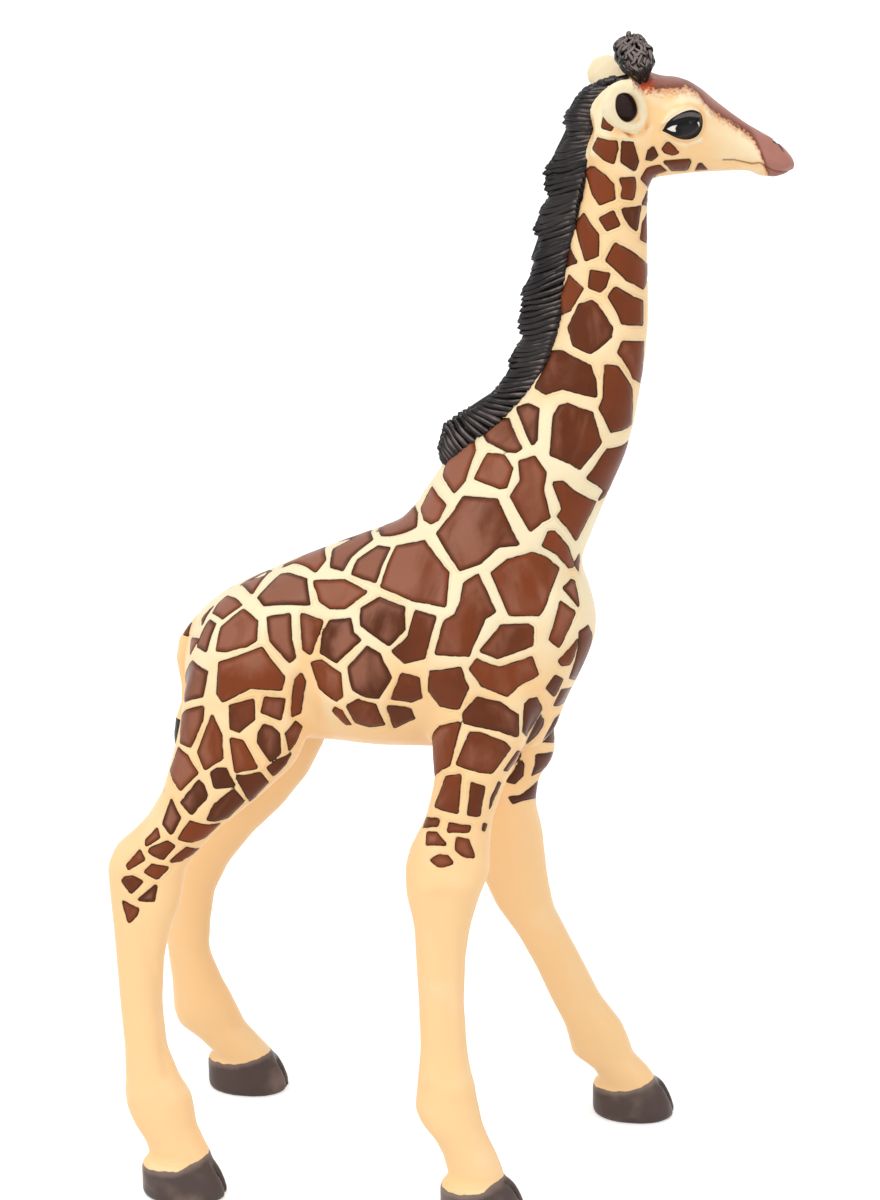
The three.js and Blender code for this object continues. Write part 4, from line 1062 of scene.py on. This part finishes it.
def curved(pixels):
    """A closed outline through some pixels with its corners cut round."""
    points = np.array(pixels, float)
    for _ in range(CUTTING_ROUNDS):
        following = np.roll(points, -1, axis=0)
        points = np.stack(((1 - CUT_SHARE) * points + CUT_SHARE * following,
                           CUT_SHARE * points + (1 - CUT_SHARE) * following), 1).reshape(-1, 2)
    return tuple(tuple(point) for point in points.tolist())


def face_shape(shapes, least_facing=LEAST_FACING):
    """How deep the places of the head lie in shapes painted on both its sides."""
    return painted_depth(head_places, head_normals, shapes, head_tree, head_mirror, FACE_ROUNDING,
                         least_facing)[0]


def above_line(pixels):
    """How far the places of the head lie above a line that the photograph shows on its side."""
    seen = in_head(np.array([seen_place(head_tree, pixel)[0] for pixel in pixels]))
    ahead, level = seen[np.argsort(seen[:, 0])][:, [0, 2]].T
    return own[:, 2] - np.interp(own[:, 0], ahead, level, left=FAR_OFF)


head_depth, head_tone = painted_depth(head_places, head_normals, HEAD_PATCHES, body_tree, head_mirror,
                                      CORNER_ROUNDING)
head_depth += PATCH_GROWTH
stripe = above_line(STRIPE_EDGE)
mouth = abs(above_line(MOUTH_LINE))
hollow = np.where(on_ear, face_shape((curved(EAR_HOLLOW),), EAR_HOLLOW_FACING), UNPAINTED)
nostril = face_shape((NOSTRIL,))
eye = face_shape((curved(EYE),))
lid = face_shape((curved(LID_FOLD),))
eyeball = face_shape((curved(EYEBALL),))
white = face_shape(WHITES)
ember_side = np.where((own[:, 1] > 0)[:, None], head_mirror[0], head_places)
brow_foot = np.array(seen_place(head_tree, BROW_FOOT)[0])
ember = 1 - np.linalg.norm(ember_side - brow_foot, axis=1) / EMBER_REACH
# Hollows of the head take more peach as painted shade, and crests less, which lightens them; the ears take
# less.
head_hollow = hollowness(head_skin, head_places, HOLLOW_ROUNDS) / HEAD_HOLLOW_REACH
head_hollow = head_hollow.clip(*HEAD_HOLLOW_SPAN)
head_hollow *= ((head_places[:, 2] - head_seam) / SEAM_FADE).clip(0, 1)
head_mist = mist_share(head_places, head_normals) + HOLLOW_PAINTED_SHADE * head_hollow
head_mist += EAR_MIST_AND_SHADE * on_ear * (1 - (to_ear / MM).clip(0, 1))

# The carved relief: what is raised or sunk, in millimetres, at which depths in millimetres.
relief = np.zeros(len(head_places))
for depth, reaches, heights in (
    (eyeball, (0, 0.6), (0, 0.12)),
    (hollow, (0, 0.5), (0, -0.4)),
    (nostril, (-0.05, 0.1), (0, -0.14)),
    (mouth, (0, 0.25), (-0.1, 0)),
    (eye, (-0.2, 0, 0.2), (0, -0.1, 0)),
):
    relief += np.interp(depth / MM, reaches, heights) * MM
head_places = head_places + head_normals * relief[:, None]
head_places = sink_outlines(head_skin, head_places, head_normals, head_depth)
for name, depth in (("patch", head_depth), ("stripe", stripe), ("mouth", mouth), ("hollow", hollow),
                    ("nostril", nostril), ("eye", eye), ("lid", lid), ("eyeball", eyeball),
                    ("white", white), ("hoof", np.full(len(head_places), UNPAINTED))):
    give(head_skin, **{name: depth / MM})
give(head_skin, tone=head_tone, mist=head_mist, ember=ember.clip(-1), dust=np.zeros(len(head_places)))

STRIPE_BROWN = linear(174, 118, 104)
STRIPE_DARK = linear(128, 70, 56)
STRIPE_LINE = linear(104, 58, 34)
FEATHER_RED = linear(204, 100, 54)
EMBER_RED = linear(190, 72, 34)
HOLLOW_BROWN = linear(40, 20, 15)
EYE_BLACK = linear(9, 7, 8)
EYE_GLOSS = 0.14
EYE_SMOOTHNESS = 0.15
FACE_WAVE_SCALE = 2600.0
FEATHER_WAVER = 1.2
EMBER_WAVER = 1.6
STREAK_AND_SHEEN_EASE = (0.5, 1.8)
FEATHER_EASE = (-0.8, 0.1, 0, 0.6)
STRIPE_EASE = (-0.1, 0.35)
STRIPE_RIM_BAND = (0.0, 0.2, 0.2, 0.5)
STRIPE_RIM_SHARE = 0.6
EMBER_EASE = (0.15, 0.75, 0, 0.9)
EYE_RIM_BAND = (-0.45, -0.15, -0.15, 0.0)
EYE_RIM_SHARE = 0.15
EYE_EASE = (0.0, 0.1)
# Plain layers of the face: what the mesh keeps, its ease and the colour, before and after the eye.
FACE_LAYERS = (
    ("mouth", (0.05, 0.2, 0.7, 0), linear(112, 66, 42)),
    ("nostril", (-0.05, 0.08), HOLLOW_BROWN),
    ("hollow", (-0.1, 0.12), HOLLOW_BROWN),
)
EYE_LAYERS = (
    # The eyeball lightens to grey towards its middle, a painted sheen, and the lid fold's grey band is a
    # painted highlight.
    ("eyeball", (0.15, 0.9, 0, 0.6), linear(46, 38, 42)),
    ("lid", (-0.03, 0.1, 0, 0.75), linear(104, 96, 94)),
    ("white", (-0.04, 0.05), linear(238, 232, 222)),
)

face_paint, tree, output = new_material("face_paint")
colour, roughness, height = paint_coat(tree)
brush = add_node(tree, "ShaderNodeGroup", {"node_tree": HAND_PAINT}, Wave_Scale=FACE_WAVE_SCALE)
feather = product_of(tree, brush.outputs["Waver"], FEATHER_WAVER)
stripe_reach = sum_of(tree, read(tree, "stripe"), feather)
# The stripe's brown goes paler in streaks and away from its lower edge towards the top of the head, as a
# painted sheen.
streaks = ramp(tree, sum_of(tree, brush.outputs["Streaks"], read(tree, "stripe")), *STREAK_AND_SHEEN_EASE)
stripe_colour = over(tree, streaks, STRIPE_DARK, STRIPE_BROWN)
stripe_rim = product_of(tree, band(tree, stripe_reach, *STRIPE_RIM_BAND), STRIPE_RIM_SHARE)
glow = ramp(tree, sum_of(tree, read(tree, "ember"), product_of(tree, feather, EMBER_WAVER)), *EMBER_EASE)
colour = over(tree, ramp(tree, stripe_reach, *FEATHER_EASE), colour, FEATHER_RED)
colour = over(tree, ramp(tree, stripe_reach, *STRIPE_EASE), colour, stripe_colour)
colour = over(tree, stripe_rim, colour, STRIPE_LINE)
colour = over(tree, glow, colour, EMBER_RED)
for name, ease, layer in FACE_LAYERS:
    colour = over(tree, ramp(tree, read(tree, name), *ease), colour, layer)
eye_rim = product_of(tree, band(tree, read(tree, "eye"), *EYE_RIM_BAND), EYE_RIM_SHARE)
eye_mask = ramp(tree, read(tree, "eye"), *EYE_EASE)
colour = over(tree, eye_rim, colour, FEATHER_RED)
colour = over(tree, eye_mask, colour, EYE_BLACK)
for name, ease, layer in EYE_LAYERS:
    colour = over(tree, ramp(tree, read(tree, name), *ease), colour, layer)
roughness = worked_out(tree, "SUBTRACT", roughness, product_of(tree, eye_mask, EYE_SMOOTHNESS))
finish_paint(tree, output, colour, roughness, height, ramp(tree, eye_mask, 0, 1, PAINT_GLOSS, EYE_GLOSS))

keep_normals(head_skin)
middles = values_of(head_skin.polygons, "center", 3)
below_seam = middles[:, 2] < head_seam
trim_to_level(head_skin, below_seam, head_seam)
corners_on_ear = np.array([on_ear[list(polygon.vertices)].mean() for polygon in head_skin.polygons])
is_ear = (corners_on_ear > 0.5) & ~below_seam
part_off(head_skin, "head", ~is_ear & ~below_seam, face_paint)
for node, side in zip(EARS, (-1, 1)):
    part_off(head_skin, node, is_ear & (in_head(middles)[:, 1] * side > 0), face_paint)


# Mane
# The mane is a moulding of its own, set in a slot along the neck: a low core covered with strands that
# lie side by side, swept back and down, and end in a ragged edge. It is black vinyl, dusted with grey, with
# a painted highlight in grey along the side of each strand that faces up and out.
MANE_TIPS = (
    (607, 80), (598, 82), (590, 87), (581, 91), (575, 97), (572, 106), (564, 113), (561, 121), (566, 127),
    (567, 134), (566, 140), (559, 147), (552, 157), (547, 166), (542, 172), (544, 179), (542, 187),
    (546, 193), (547, 200), (540, 208), (538, 214), (536, 221), (532, 231), (536, 239), (539, 246),
    (536, 252), (531, 259), (532, 266), (529, 272), (530, 279), (523, 287), (520, 295), (520, 303),
    (519, 312), (517, 321), (518, 331), (522, 339), (516, 347), (510, 355), (507, 363), (508, 370),
    (503, 378), (498, 385), (490, 393), (485, 400), (473, 406), (464, 409), (456, 413), (448, 419),
    (443, 424), (441, 431), (440, 438), (438, 444), (440, 451), (442, 459),
)
MANE_ROOT_LINE = (
    (617, 80), (600, 94), (598, 112), (591, 132), (587, 150), (577, 180), (571, 210), (567, 240),
    (565, 275), (560, 300), (551, 332), (546, 350), (537, 370), (525, 390), (508, 410), (492, 423),
    (467, 441), (445, 463),
)
MANE_DROOP = (
    (80, 0), (130, 3), (140, 10), (158, 17), (200, 20), (247, 24), (280, 28), (303, 20), (340, 15),
    (384, 15), (400, 0), (410, -30), (420, -48), (460, -52),
)
STRAND_SPACING = 0.66 * MM
STRAND_WIDTH = 0.84 * MM
STRAND_SIDES = 8
STRAND_STEPS = 9
STRAND_NARROWING = 0.2
TIP_FULLNESS = 1.04
TIP_SHARPNESS = 14.0
STRAND_WAVE = 0.1 * MM
WAVE_SPREAD = (0.4, 1.2)
STRAND_SHORTENING = (0.0, 0.05)
STRAND_SINK = 0.12 * MM
PAST_MANE_SHARE = 0.6
WIDTH_SPREAD = 0.16
ROOT_SINK = 0.9 * MM
RIDGE_START = 0.55
RIDGE_OFFSET = 0.35 * MM
CORE_SHARE = 0.95
CORE_THINNING = 0.75
TUFT_CORE_SHARE = 0.84
HAIR_WAVE_SCALE = 700.0
HAIR_RELIEF = 0.06
HAIR_GLOSS = 0.22
GREY_EASE = (0.35, 0.75)
STRAND_HIGHLIGHT_WAVER = 0.25
STRAND_HIGHLIGHT_EASE = (0.8, 1.02, 0, 0.9)
HAIR_SATIN_EASE = (0.3, 0.7, 0.26, 0.4)
STRAND_HIGHLIGHT_FACING = np.array((0.15, 0.85, 0.5))
MANE_SEED = 11
HAIR_BLACK = linear(18, 14, 15)
HAIR_GREY = linear(44, 38, 38)
STRAND_HIGHLIGHT_GREY = linear(138, 124, 120)
STALK_RED = linear(120, 58, 42)


def on_middle_plane(pixel):
    """The place of the neck's middle plane that the camera sees at a pixel."""
    ray = aimed_at(pixel)
    return np.array(camera.location - camera.location.y / ray.y * ray)


def lock_root(tip):
    """The pixel of the root line where the lock that ends at a tip begins."""
    columns, rows = np.array(MANE_ROOT_LINE).T
    levels = np.arange(rows[0], rows[-1])
    across = np.interp(levels, rows, columns)
    droop = np.radians(np.interp(tip[1], *zip(*MANE_DROOP)))
    off = levels - tip[1] + np.tan(droop) * (across - tip[0])
    best = np.argmin(abs(off))
    return float(across[best]), float(levels[best])


def polylines(name, lines, widths):
    """An object of open lines, which geometry nodes turn into strands of those relative widths."""
    steps = len(lines[0])
    points = [tuple(point) for line in lines for point in line]
    edges = [(i, i + 1) for i in range(len(points)) if (i + 1) % steps]
    mesh = bpy.data.meshes.new(name)
    mesh.from_pydata(points, edges, [])
    strand = mesh.attributes.new("strand", "INT", "POINT")
    strand.data.foreach_set("value", np.arange(len(points)) // steps)
    give(mesh, width=np.repeat(widths, steps))
    return new_object(name, mesh)


def strand_tree():
    """Geometry nodes that turn lines into tapered strands with round tips and set them on a core."""
    tree = bpy.data.node_groups.new("hair_strands", "GeometryNodeTree")
    face = tree.interface
    face.new_socket("Lines", in_out="INPUT", socket_type="NodeSocketGeometry")
    for name, kind in (("Core", "Object"), ("Strand Width", "Float"), ("Width Spread", "Float"),
                       ("Sides", "Int"), ("Steps", "Int"), ("Seed", "Int"), ("Material", "Material")):
        face.new_socket(name, in_out="INPUT", socket_type="NodeSocket" + kind)
    face.new_socket("Hair", in_out="OUTPUT", socket_type="NodeSocketGeometry")
    entry = tree.nodes.new("NodeGroupInput").outputs
    leave = tree.nodes.new("NodeGroupOutput").inputs
    lines = add_node(tree, "GeometryNodeMeshToCurve", Mesh=entry["Lines"])
    lines = add_node(tree, "GeometryNodeResampleCurve", Curve=lines.outputs[0], Count=entry["Steps"])
    along = add_node(tree, "GeometryNodeSplineParameter").outputs["Factor"]
    narrowing = worked_out(tree, "SUBTRACT", 1.0, product_of(tree, along, STRAND_NARROWING))
    rounding = worked_out(tree, "SUBTRACT", TIP_FULLNESS, worked_out(tree, "POWER", along, TIP_SHARPNESS))
    taper = product_of(tree, narrowing, worked_out(tree, "POWER", rounding, 0.5))
    strand, relative = [
        add_node(tree, "GeometryNodeInputNamedAttribute", {"data_type": kind}, Name=name).outputs[0]
        for name, kind in (("strand", "INT"), ("width", "FLOAT"))]
    low = worked_out(tree, "SUBTRACT", 1.0, entry["Width Spread"])
    high = sum_of(tree, 1.0, entry["Width Spread"])
    uneven = add_node(tree, "FunctionNodeRandomValue", {"data_type": "FLOAT"}, i2=low, i3=high, i7=strand,
                      i8=entry["Seed"]).outputs[1]
    radius = product_of(tree, product_of(tree, entry["Strand Width"], 0.5), uneven)
    radius = product_of(tree, radius, relative)
    profile = add_node(tree, "GeometryNodeCurvePrimitiveCircle", Resolution=entry["Sides"], Radius=1.0)
    tubes = add_node(tree, "GeometryNodeCurveToMesh", Curve=lines.outputs[0],
                     Profile_Curve=profile.outputs[0], Scale=product_of(tree, radius, taper), Fill_Caps=True)
    smooth = add_node(tree, "GeometryNodeSetShadeSmooth", Geometry=tubes.outputs[0])
    core = add_node(tree, "GeometryNodeObjectInfo", Object=entry["Core"])
    joined = tree.nodes.new("GeometryNodeJoinGeometry")
    for source in (smooth.outputs[0], core.outputs["Geometry"]):
        tree.links.new(source, joined.inputs[0])
    real = add_node(tree, "GeometryNodeRealizeInstances", Geometry=joined.outputs[0])
    painted = add_node(tree, "GeometryNodeSetMaterial", Geometry=real.outputs[0],
                       Material=entry["Material"])
    tree.links.new(painted.outputs[0], leave[0])
    return tree


def grown(name, lines, widths, core_mesh, seed, width, highlight_lift=0):
    """The plain mesh of strands along some lines, joined with the core that they cover."""
    guides = polylines(name, lines, widths)
    core = new_object(name + "_core", core_mesh)
    modifier = guides.modifiers.new("strands", "NODES")
    modifier.node_group = HAIR_STRANDS
    inputs = [item for item in HAIR_STRANDS.interface.items_tree if item.in_out == "INPUT"]
    sockets = {item.name: item.identifier for item in inputs}
    for label, value in (("Core", core), ("Strand Width", width), ("Width Spread", WIDTH_SPREAD),
                         ("Sides", STRAND_SIDES), ("Steps", STRAND_STEPS), ("Seed", seed),
                         ("Material", hair_vinyl)):
        modifier[sockets[label]] = value
    evaluated = guides.evaluated_get(bpy.context.evaluated_depsgraph_get())
    mesh = bpy.data.meshes.new_from_object(evaluated)
    bpy.data.objects.remove(guides)
    bpy.data.objects.remove(core)
    mesh.materials.clear()
    normals = vertex_normals(mesh)
    # Where a strand faces up and out it takes a painted highlight, lifted further on the horn tufts.
    give(mesh, crest=(normals * (1, 0, 1) + abs(normals) * (0, 1, 0)) @ STRAND_HIGHLIGHT_FACING + highlight_lift)
    return mesh


def shrunk_core(node, carrier, share, thinning=1):
    """A set-in piece's solid, drawn in towards the skin that carries it so that its strands cover it."""
    mesh = welded(node)
    for vertex in mesh.vertices:
        near, normal, _, _ = carrier.find_nearest(vertex.co)
        if (vertex.co - near).dot(normal) > 0:
            vertex.co = near.lerp(vertex.co, share)
            vertex.co.y *= thinning
    for polygon in mesh.polygons:
        polygon.use_smooth = True
    return mesh


HAIR_STRANDS = strand_tree()
hair_vinyl, tree, output = new_material("hair_vinyl")
brush = add_node(tree, "ShaderNodeGroup", {"node_tree": HAND_PAINT}, Wave_Scale=HAIR_WAVE_SCALE).outputs
hair_colour = over(tree, ramp(tree, brush["Thickness"], *GREY_EASE), HAIR_BLACK, HAIR_GREY)
# Grey on the side of each strand that faces up and out: a painted highlight.
crest = sum_of(tree, read(tree, "crest"), product_of(tree, brush["Waver"], STRAND_HIGHLIGHT_WAVER))
hair_colour = over(tree, ramp(tree, crest, *STRAND_HIGHLIGHT_EASE), hair_colour, STRAND_HIGHLIGHT_GREY)
hair_colour = over(tree, read(tree, "stalk"), hair_colour, STALK_RED)
finish_paint(tree, output, hair_colour, ramp(tree, brush["Thickness"], *HAIR_SATIN_EASE),
             product_of(tree, brush["Waver"], HAIR_RELIEF), HAIR_GLOSS)

mane_tree = surface_tree("mane")
mane_low, mane_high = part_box("mane")
mane_half = (mane_high.y - mane_low.y) / 2


def beside_mane(point, side):
    """How far a side of the mane lies from the middle plane, abreast of a point of that plane."""
    start = (point[0], side * 2 * mane_half, point[2])
    hit, _, _, _ = mane_tree.ray_cast(start, (0, -side, 0))
    return abs(hit.y) if hit else 0


tip_steps = np.hypot(*np.diff(MANE_TIPS, axis=0).T)
tip_run = np.concatenate(((0,), np.cumsum(tip_steps))) / PIXELS_PER_MM * MM
shaker = np.random.default_rng(MANE_SEED)
mane_lines = []
for place in np.arange(0, tip_run[-1], STRAND_SPACING):
    pixel = [float(np.interp(place, tip_run, values)) for values in np.transpose(MANE_TIPS)]
    tip = on_middle_plane(pixel)
    root = on_middle_plane(lock_root(pixel))
    reach = tip - root
    root = root - unit(reach) * ROOT_SINK
    reach = tip - root
    across = np.array((-reach[2], 0, reach[0])) / np.linalg.norm(reach)
    for side in (-1, 1):
        phase = shaker.uniform(0, 2 * pi)
        sway = STRAND_WAVE * shaker.uniform(*WAVE_SPREAD)
        last = 1 - shaker.uniform(*STRAND_SHORTENING)
        line, reached = [], mane_half
        for along in np.linspace(0, last, STRAND_STEPS):
            point = root + reach * along + across * sway * sin(phase + 2 * pi * along)
            beside = beside_mane(point, side)
            reached = beside if beside else reached * PAST_MANE_SHARE
            point[1] = side * max(reached - STRAND_SINK, 0)
            line.append(point)
        mane_lines.append(line)
        ridge = [root + reach * along for along in np.linspace(RIDGE_START, last, STRAND_STEPS)]
        mane_lines.append([point + (0, side * RIDGE_OFFSET, 0) for point in ridge])
mane_hair = grown("mane_lines", mane_lines, np.ones(len(mane_lines)),
                  shrunk_core("mane", carrier_tree, CORE_SHARE, CORE_THINNING), MANE_SEED, STRAND_WIDTH)
ready("mane_hair", mane_hair, hair_vinyl, "hair", "mane")


# Ossicones
# Each little horn is a short stalk that ends in a thick tuft of twisted black hair, as calves have.
# It is cast in one with its tuft in the black vinyl of the mane and set in a hole in the skull.
FOOT_SLAB = (1.6 * MM, 1.0 * MM)
CROWN_SLAB = (1.2 * MM, 1.2 * MM)
TUFT_WIDTH = 0.62 * MM
TUFT_SINK = 0.3 * MM
TUFT_CURL = 0.16 * MM
TUFT_SEED = 5
# How much more painted highlight the horn tufts take than the mane.
HORN_HIGHLIGHT_LIFT = 0.2
START_SPREAD = (-0.06, 0.06)
END_SPREAD = (-0.08, 0.03)
ANGLE_SPREAD = (-0.4, 0.4)
TURN_SPREAD = (0.2, 1.4)
STAND_OFF_SPREAD = (0.1, 1.3)
TUFT_WIDTH_SPREAD = (0.75, 1.2)
HIGHEST_SHARE = 0.97
STALK_SHARES = (0.02, 0.06)
TUFT_NECK_SHARES = (0.1, 0.45)
TUFT_NECK = 0.62
# Strands round the tuft, where they start and end as shares of the horn, how far they wind round it
# in degrees, how far they stand off in millimetres, and their relative width.
TUFT_ROWS = (
    (13, 0.1, 0.6, 12, 0.05, 0.95),
    (11, 0.3, 0.78, -24, 0.2, 0.7),
    (11, 0.5, 0.9, 44, 0.26, 0.85),
    (10, 0.66, 0.98, -60, 0.3, 0.75),
    (8, 0.8, 1.02, 70, 0.22, 0.85),
    (5, 0.92, 1.04, -80, 0.0, 0.8),
)


def middle_at(places, level, slack):
    """The middle of the box round the places that lie no further than a slack from a level."""
    slab = places[abs(places[:, 2] - level) < slack]
    return (slab.max(axis=0) + slab.min(axis=0)) / 2


def horn_axis(node):
    """The lowest and highest middle of a horn."""
    places, _ = mesh_arrays(welded(node))
    low, high = places[:, 2].min(), places[:, 2].max()
    foot = middle_at(places, low + FOOT_SLAB[0], FOOT_SLAB[1])
    axis = unit(middle_at(places, high - CROWN_SLAB[0], CROWN_SLAB[1]) - foot)
    return foot, foot + axis * ((places - foot) @ axis).max()


def horn_radius(horn_tree, middle, direction):
    """How far out strands lie on a horn in a direction from a place of its axis."""
    hit, _, _, reach = horn_tree.ray_cast(middle, direction)
    return max(reach - TUFT_SINK, 0) if hit else 0


for side, node in enumerate(("right_ossicone", "left_ossicone")):
    foot, crown = horn_axis(node)
    axis = crown - foot
    upward = unit(axis)
    across = unit(np.cross(axis, (0, 1, 0)))
    third = np.cross(upward, across)
    horn_tree = surface_tree(node)
    shaker = np.random.default_rng(TUFT_SEED + side)
    lines, widths = [], []
    for count, start, end, turn, stand_off, width in TUFT_ROWS:
        for number in range(count):
            first = start + shaker.uniform(*START_SPREAD)
            last = end + shaker.uniform(*END_SPREAD)
            angle = 2 * pi * (number + shaker.uniform(*ANGLE_SPREAD)) / count
            swirl = radians(turn) * shaker.uniform(*TURN_SPREAD)
            raised = stand_off * MM * shaker.uniform(*STAND_OFF_SPREAD)
            phase = shaker.uniform(0, 2 * pi)
            line = []
            for along in np.linspace(0, 1, STRAND_STEPS):
                level = first + (last - first) * along
                turned = angle + swirl * along
                outward = cos(turned) * across + sin(turned) * third
                middle = foot + axis * min(level, HIGHEST_SHARE)
                out = horn_radius(horn_tree, middle, outward)
                out *= np.interp(level, TUFT_NECK_SHARES, (TUFT_NECK, 1))
                out += raised * sin(pi * along)
                curl = TUFT_CURL * sin(phase + 2 * pi * along) * np.cross(outward, upward)
                line.append(foot + axis * level + out * outward + curl)
            lines.append(line)
            widths.append(width * shaker.uniform(*TUFT_WIDTH_SPREAD))
    core = shrunk_core(node, skull_tree, TUFT_CORE_SHARE)
    core_places, _ = mesh_arrays(core)
    levels = (core_places - foot) @ axis / (axis @ axis)
    on_axis = foot + levels[:, None] * axis
    drawn_in = np.interp(levels, TUFT_NECK_SHARES, (TUFT_NECK, 1))[:, None]
    set_places(core, on_axis + (core_places - on_axis) * drawn_in)
    give(core, stalk=np.interp(levels, STALK_SHARES, (1, 0)))
    tuft = grown(node + "_lines", lines, widths, core, TUFT_SEED + side, TUFT_WIDTH, HORN_HIGHLIGHT_LIFT)
    ready(node + "_hair", tuft, hair_vinyl, "hair", node)


# Tail
# The tail is a thin moulding of its own, pegged to the rump. Its upper part is painted as the coat is,
# and below it the tuft hangs down between the thighs in long black strands.
TAIL_GRAIN = 0.25 * MM
TAIL_ROUNDS = 12
TAIL_EASE = 0.4
TUFT_LEVEL = 56 * MM
TAIL_STRANDS = 14
TAIL_STRAND_WIDTH = 0.7 * MM
TAIL_OVERLAP = 2.4 * MM
TAIL_TOP_SPREAD = (0.3, 1)
TAIL_FOOT_SPREAD = (0.05, 0.9)
TAIL_SINK_SHARE = 0.7
TAIL_SLAB = 2 * TAIL_GRAIN
TAIL_PATCHES = (((183, 622), (190, 622), (188, 636), (182, 634)),)
TAIL_SEED = 3

tail_skin = cast_over([welded("tail")], TAIL_GRAIN)
tail_places, tail_corners = mesh_arrays(tail_skin)
tail_places = smoothed(tail_places, edge_ends(tail_skin), TAIL_ROUNDS, np.full(len(tail_places), TAIL_EASE))
set_places(tail_skin, tail_places)
tail_normals = vertex_normals(tail_skin)
tail_tree = tree_over(tail_places, tail_corners)
tail_mirror = [vectors * (1, -1, 1) for vectors in (tail_places, tail_normals)]
tail_depth, tail_tone = painted_depth(tail_places, tail_normals, TAIL_PATCHES, tail_tree, tail_mirror,
                                      CORNER_ROUNDING)
give(tail_skin, patch=tail_depth / MM, tone=tail_tone, mist=mist_share(tail_places, tail_normals),
     dust=np.zeros(len(tail_places)), hoof=np.full(len(tail_places), UNPAINTED / MM))
keep_normals(tail_skin)
is_tuft = values_of(tail_skin.polygons, "center", 3)[:, 2] < TUFT_LEVEL
trim_to_level(tail_skin, is_tuft, TUFT_LEVEL)
part_off(tail_skin, "tail", ~is_tuft, coat_paint)

tail_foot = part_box("tail")[0].z
shaker = np.random.default_rng(TAIL_SEED)
lines = []
for number in range(TAIL_STRANDS):
    angle = 2 * pi * number / TAIL_STRANDS
    outward = np.array((cos(angle), sin(angle), 0))
    top = TUFT_LEVEL + TAIL_OVERLAP * shaker.uniform(*TAIL_TOP_SPREAD)
    foot = tail_foot + TAIL_OVERLAP * shaker.uniform(*TAIL_FOOT_SPREAD)
    line = []
    for level in np.linspace(top, foot, STRAND_STEPS):
        middle = np.array((*middle_at(tail_places, level, TAIL_SLAB)[:2], level))
        hit, _, _, reach = tail_tree.ray_cast(middle, outward)
        line.append(middle + max((reach or 0) - TAIL_STRAND_WIDTH * TAIL_SINK_SHARE, 0) * outward)
    lines.append(line)
tail_tuft = grown("tail_lines", lines, np.ones(TAIL_STRANDS), cut_out(tail_skin, is_tuft, "tail_core"),
                  TAIL_SEED, TAIL_STRAND_WIDTH)
ready("tail_hair", tail_tuft, hair_vinyl, "hair", "tail")
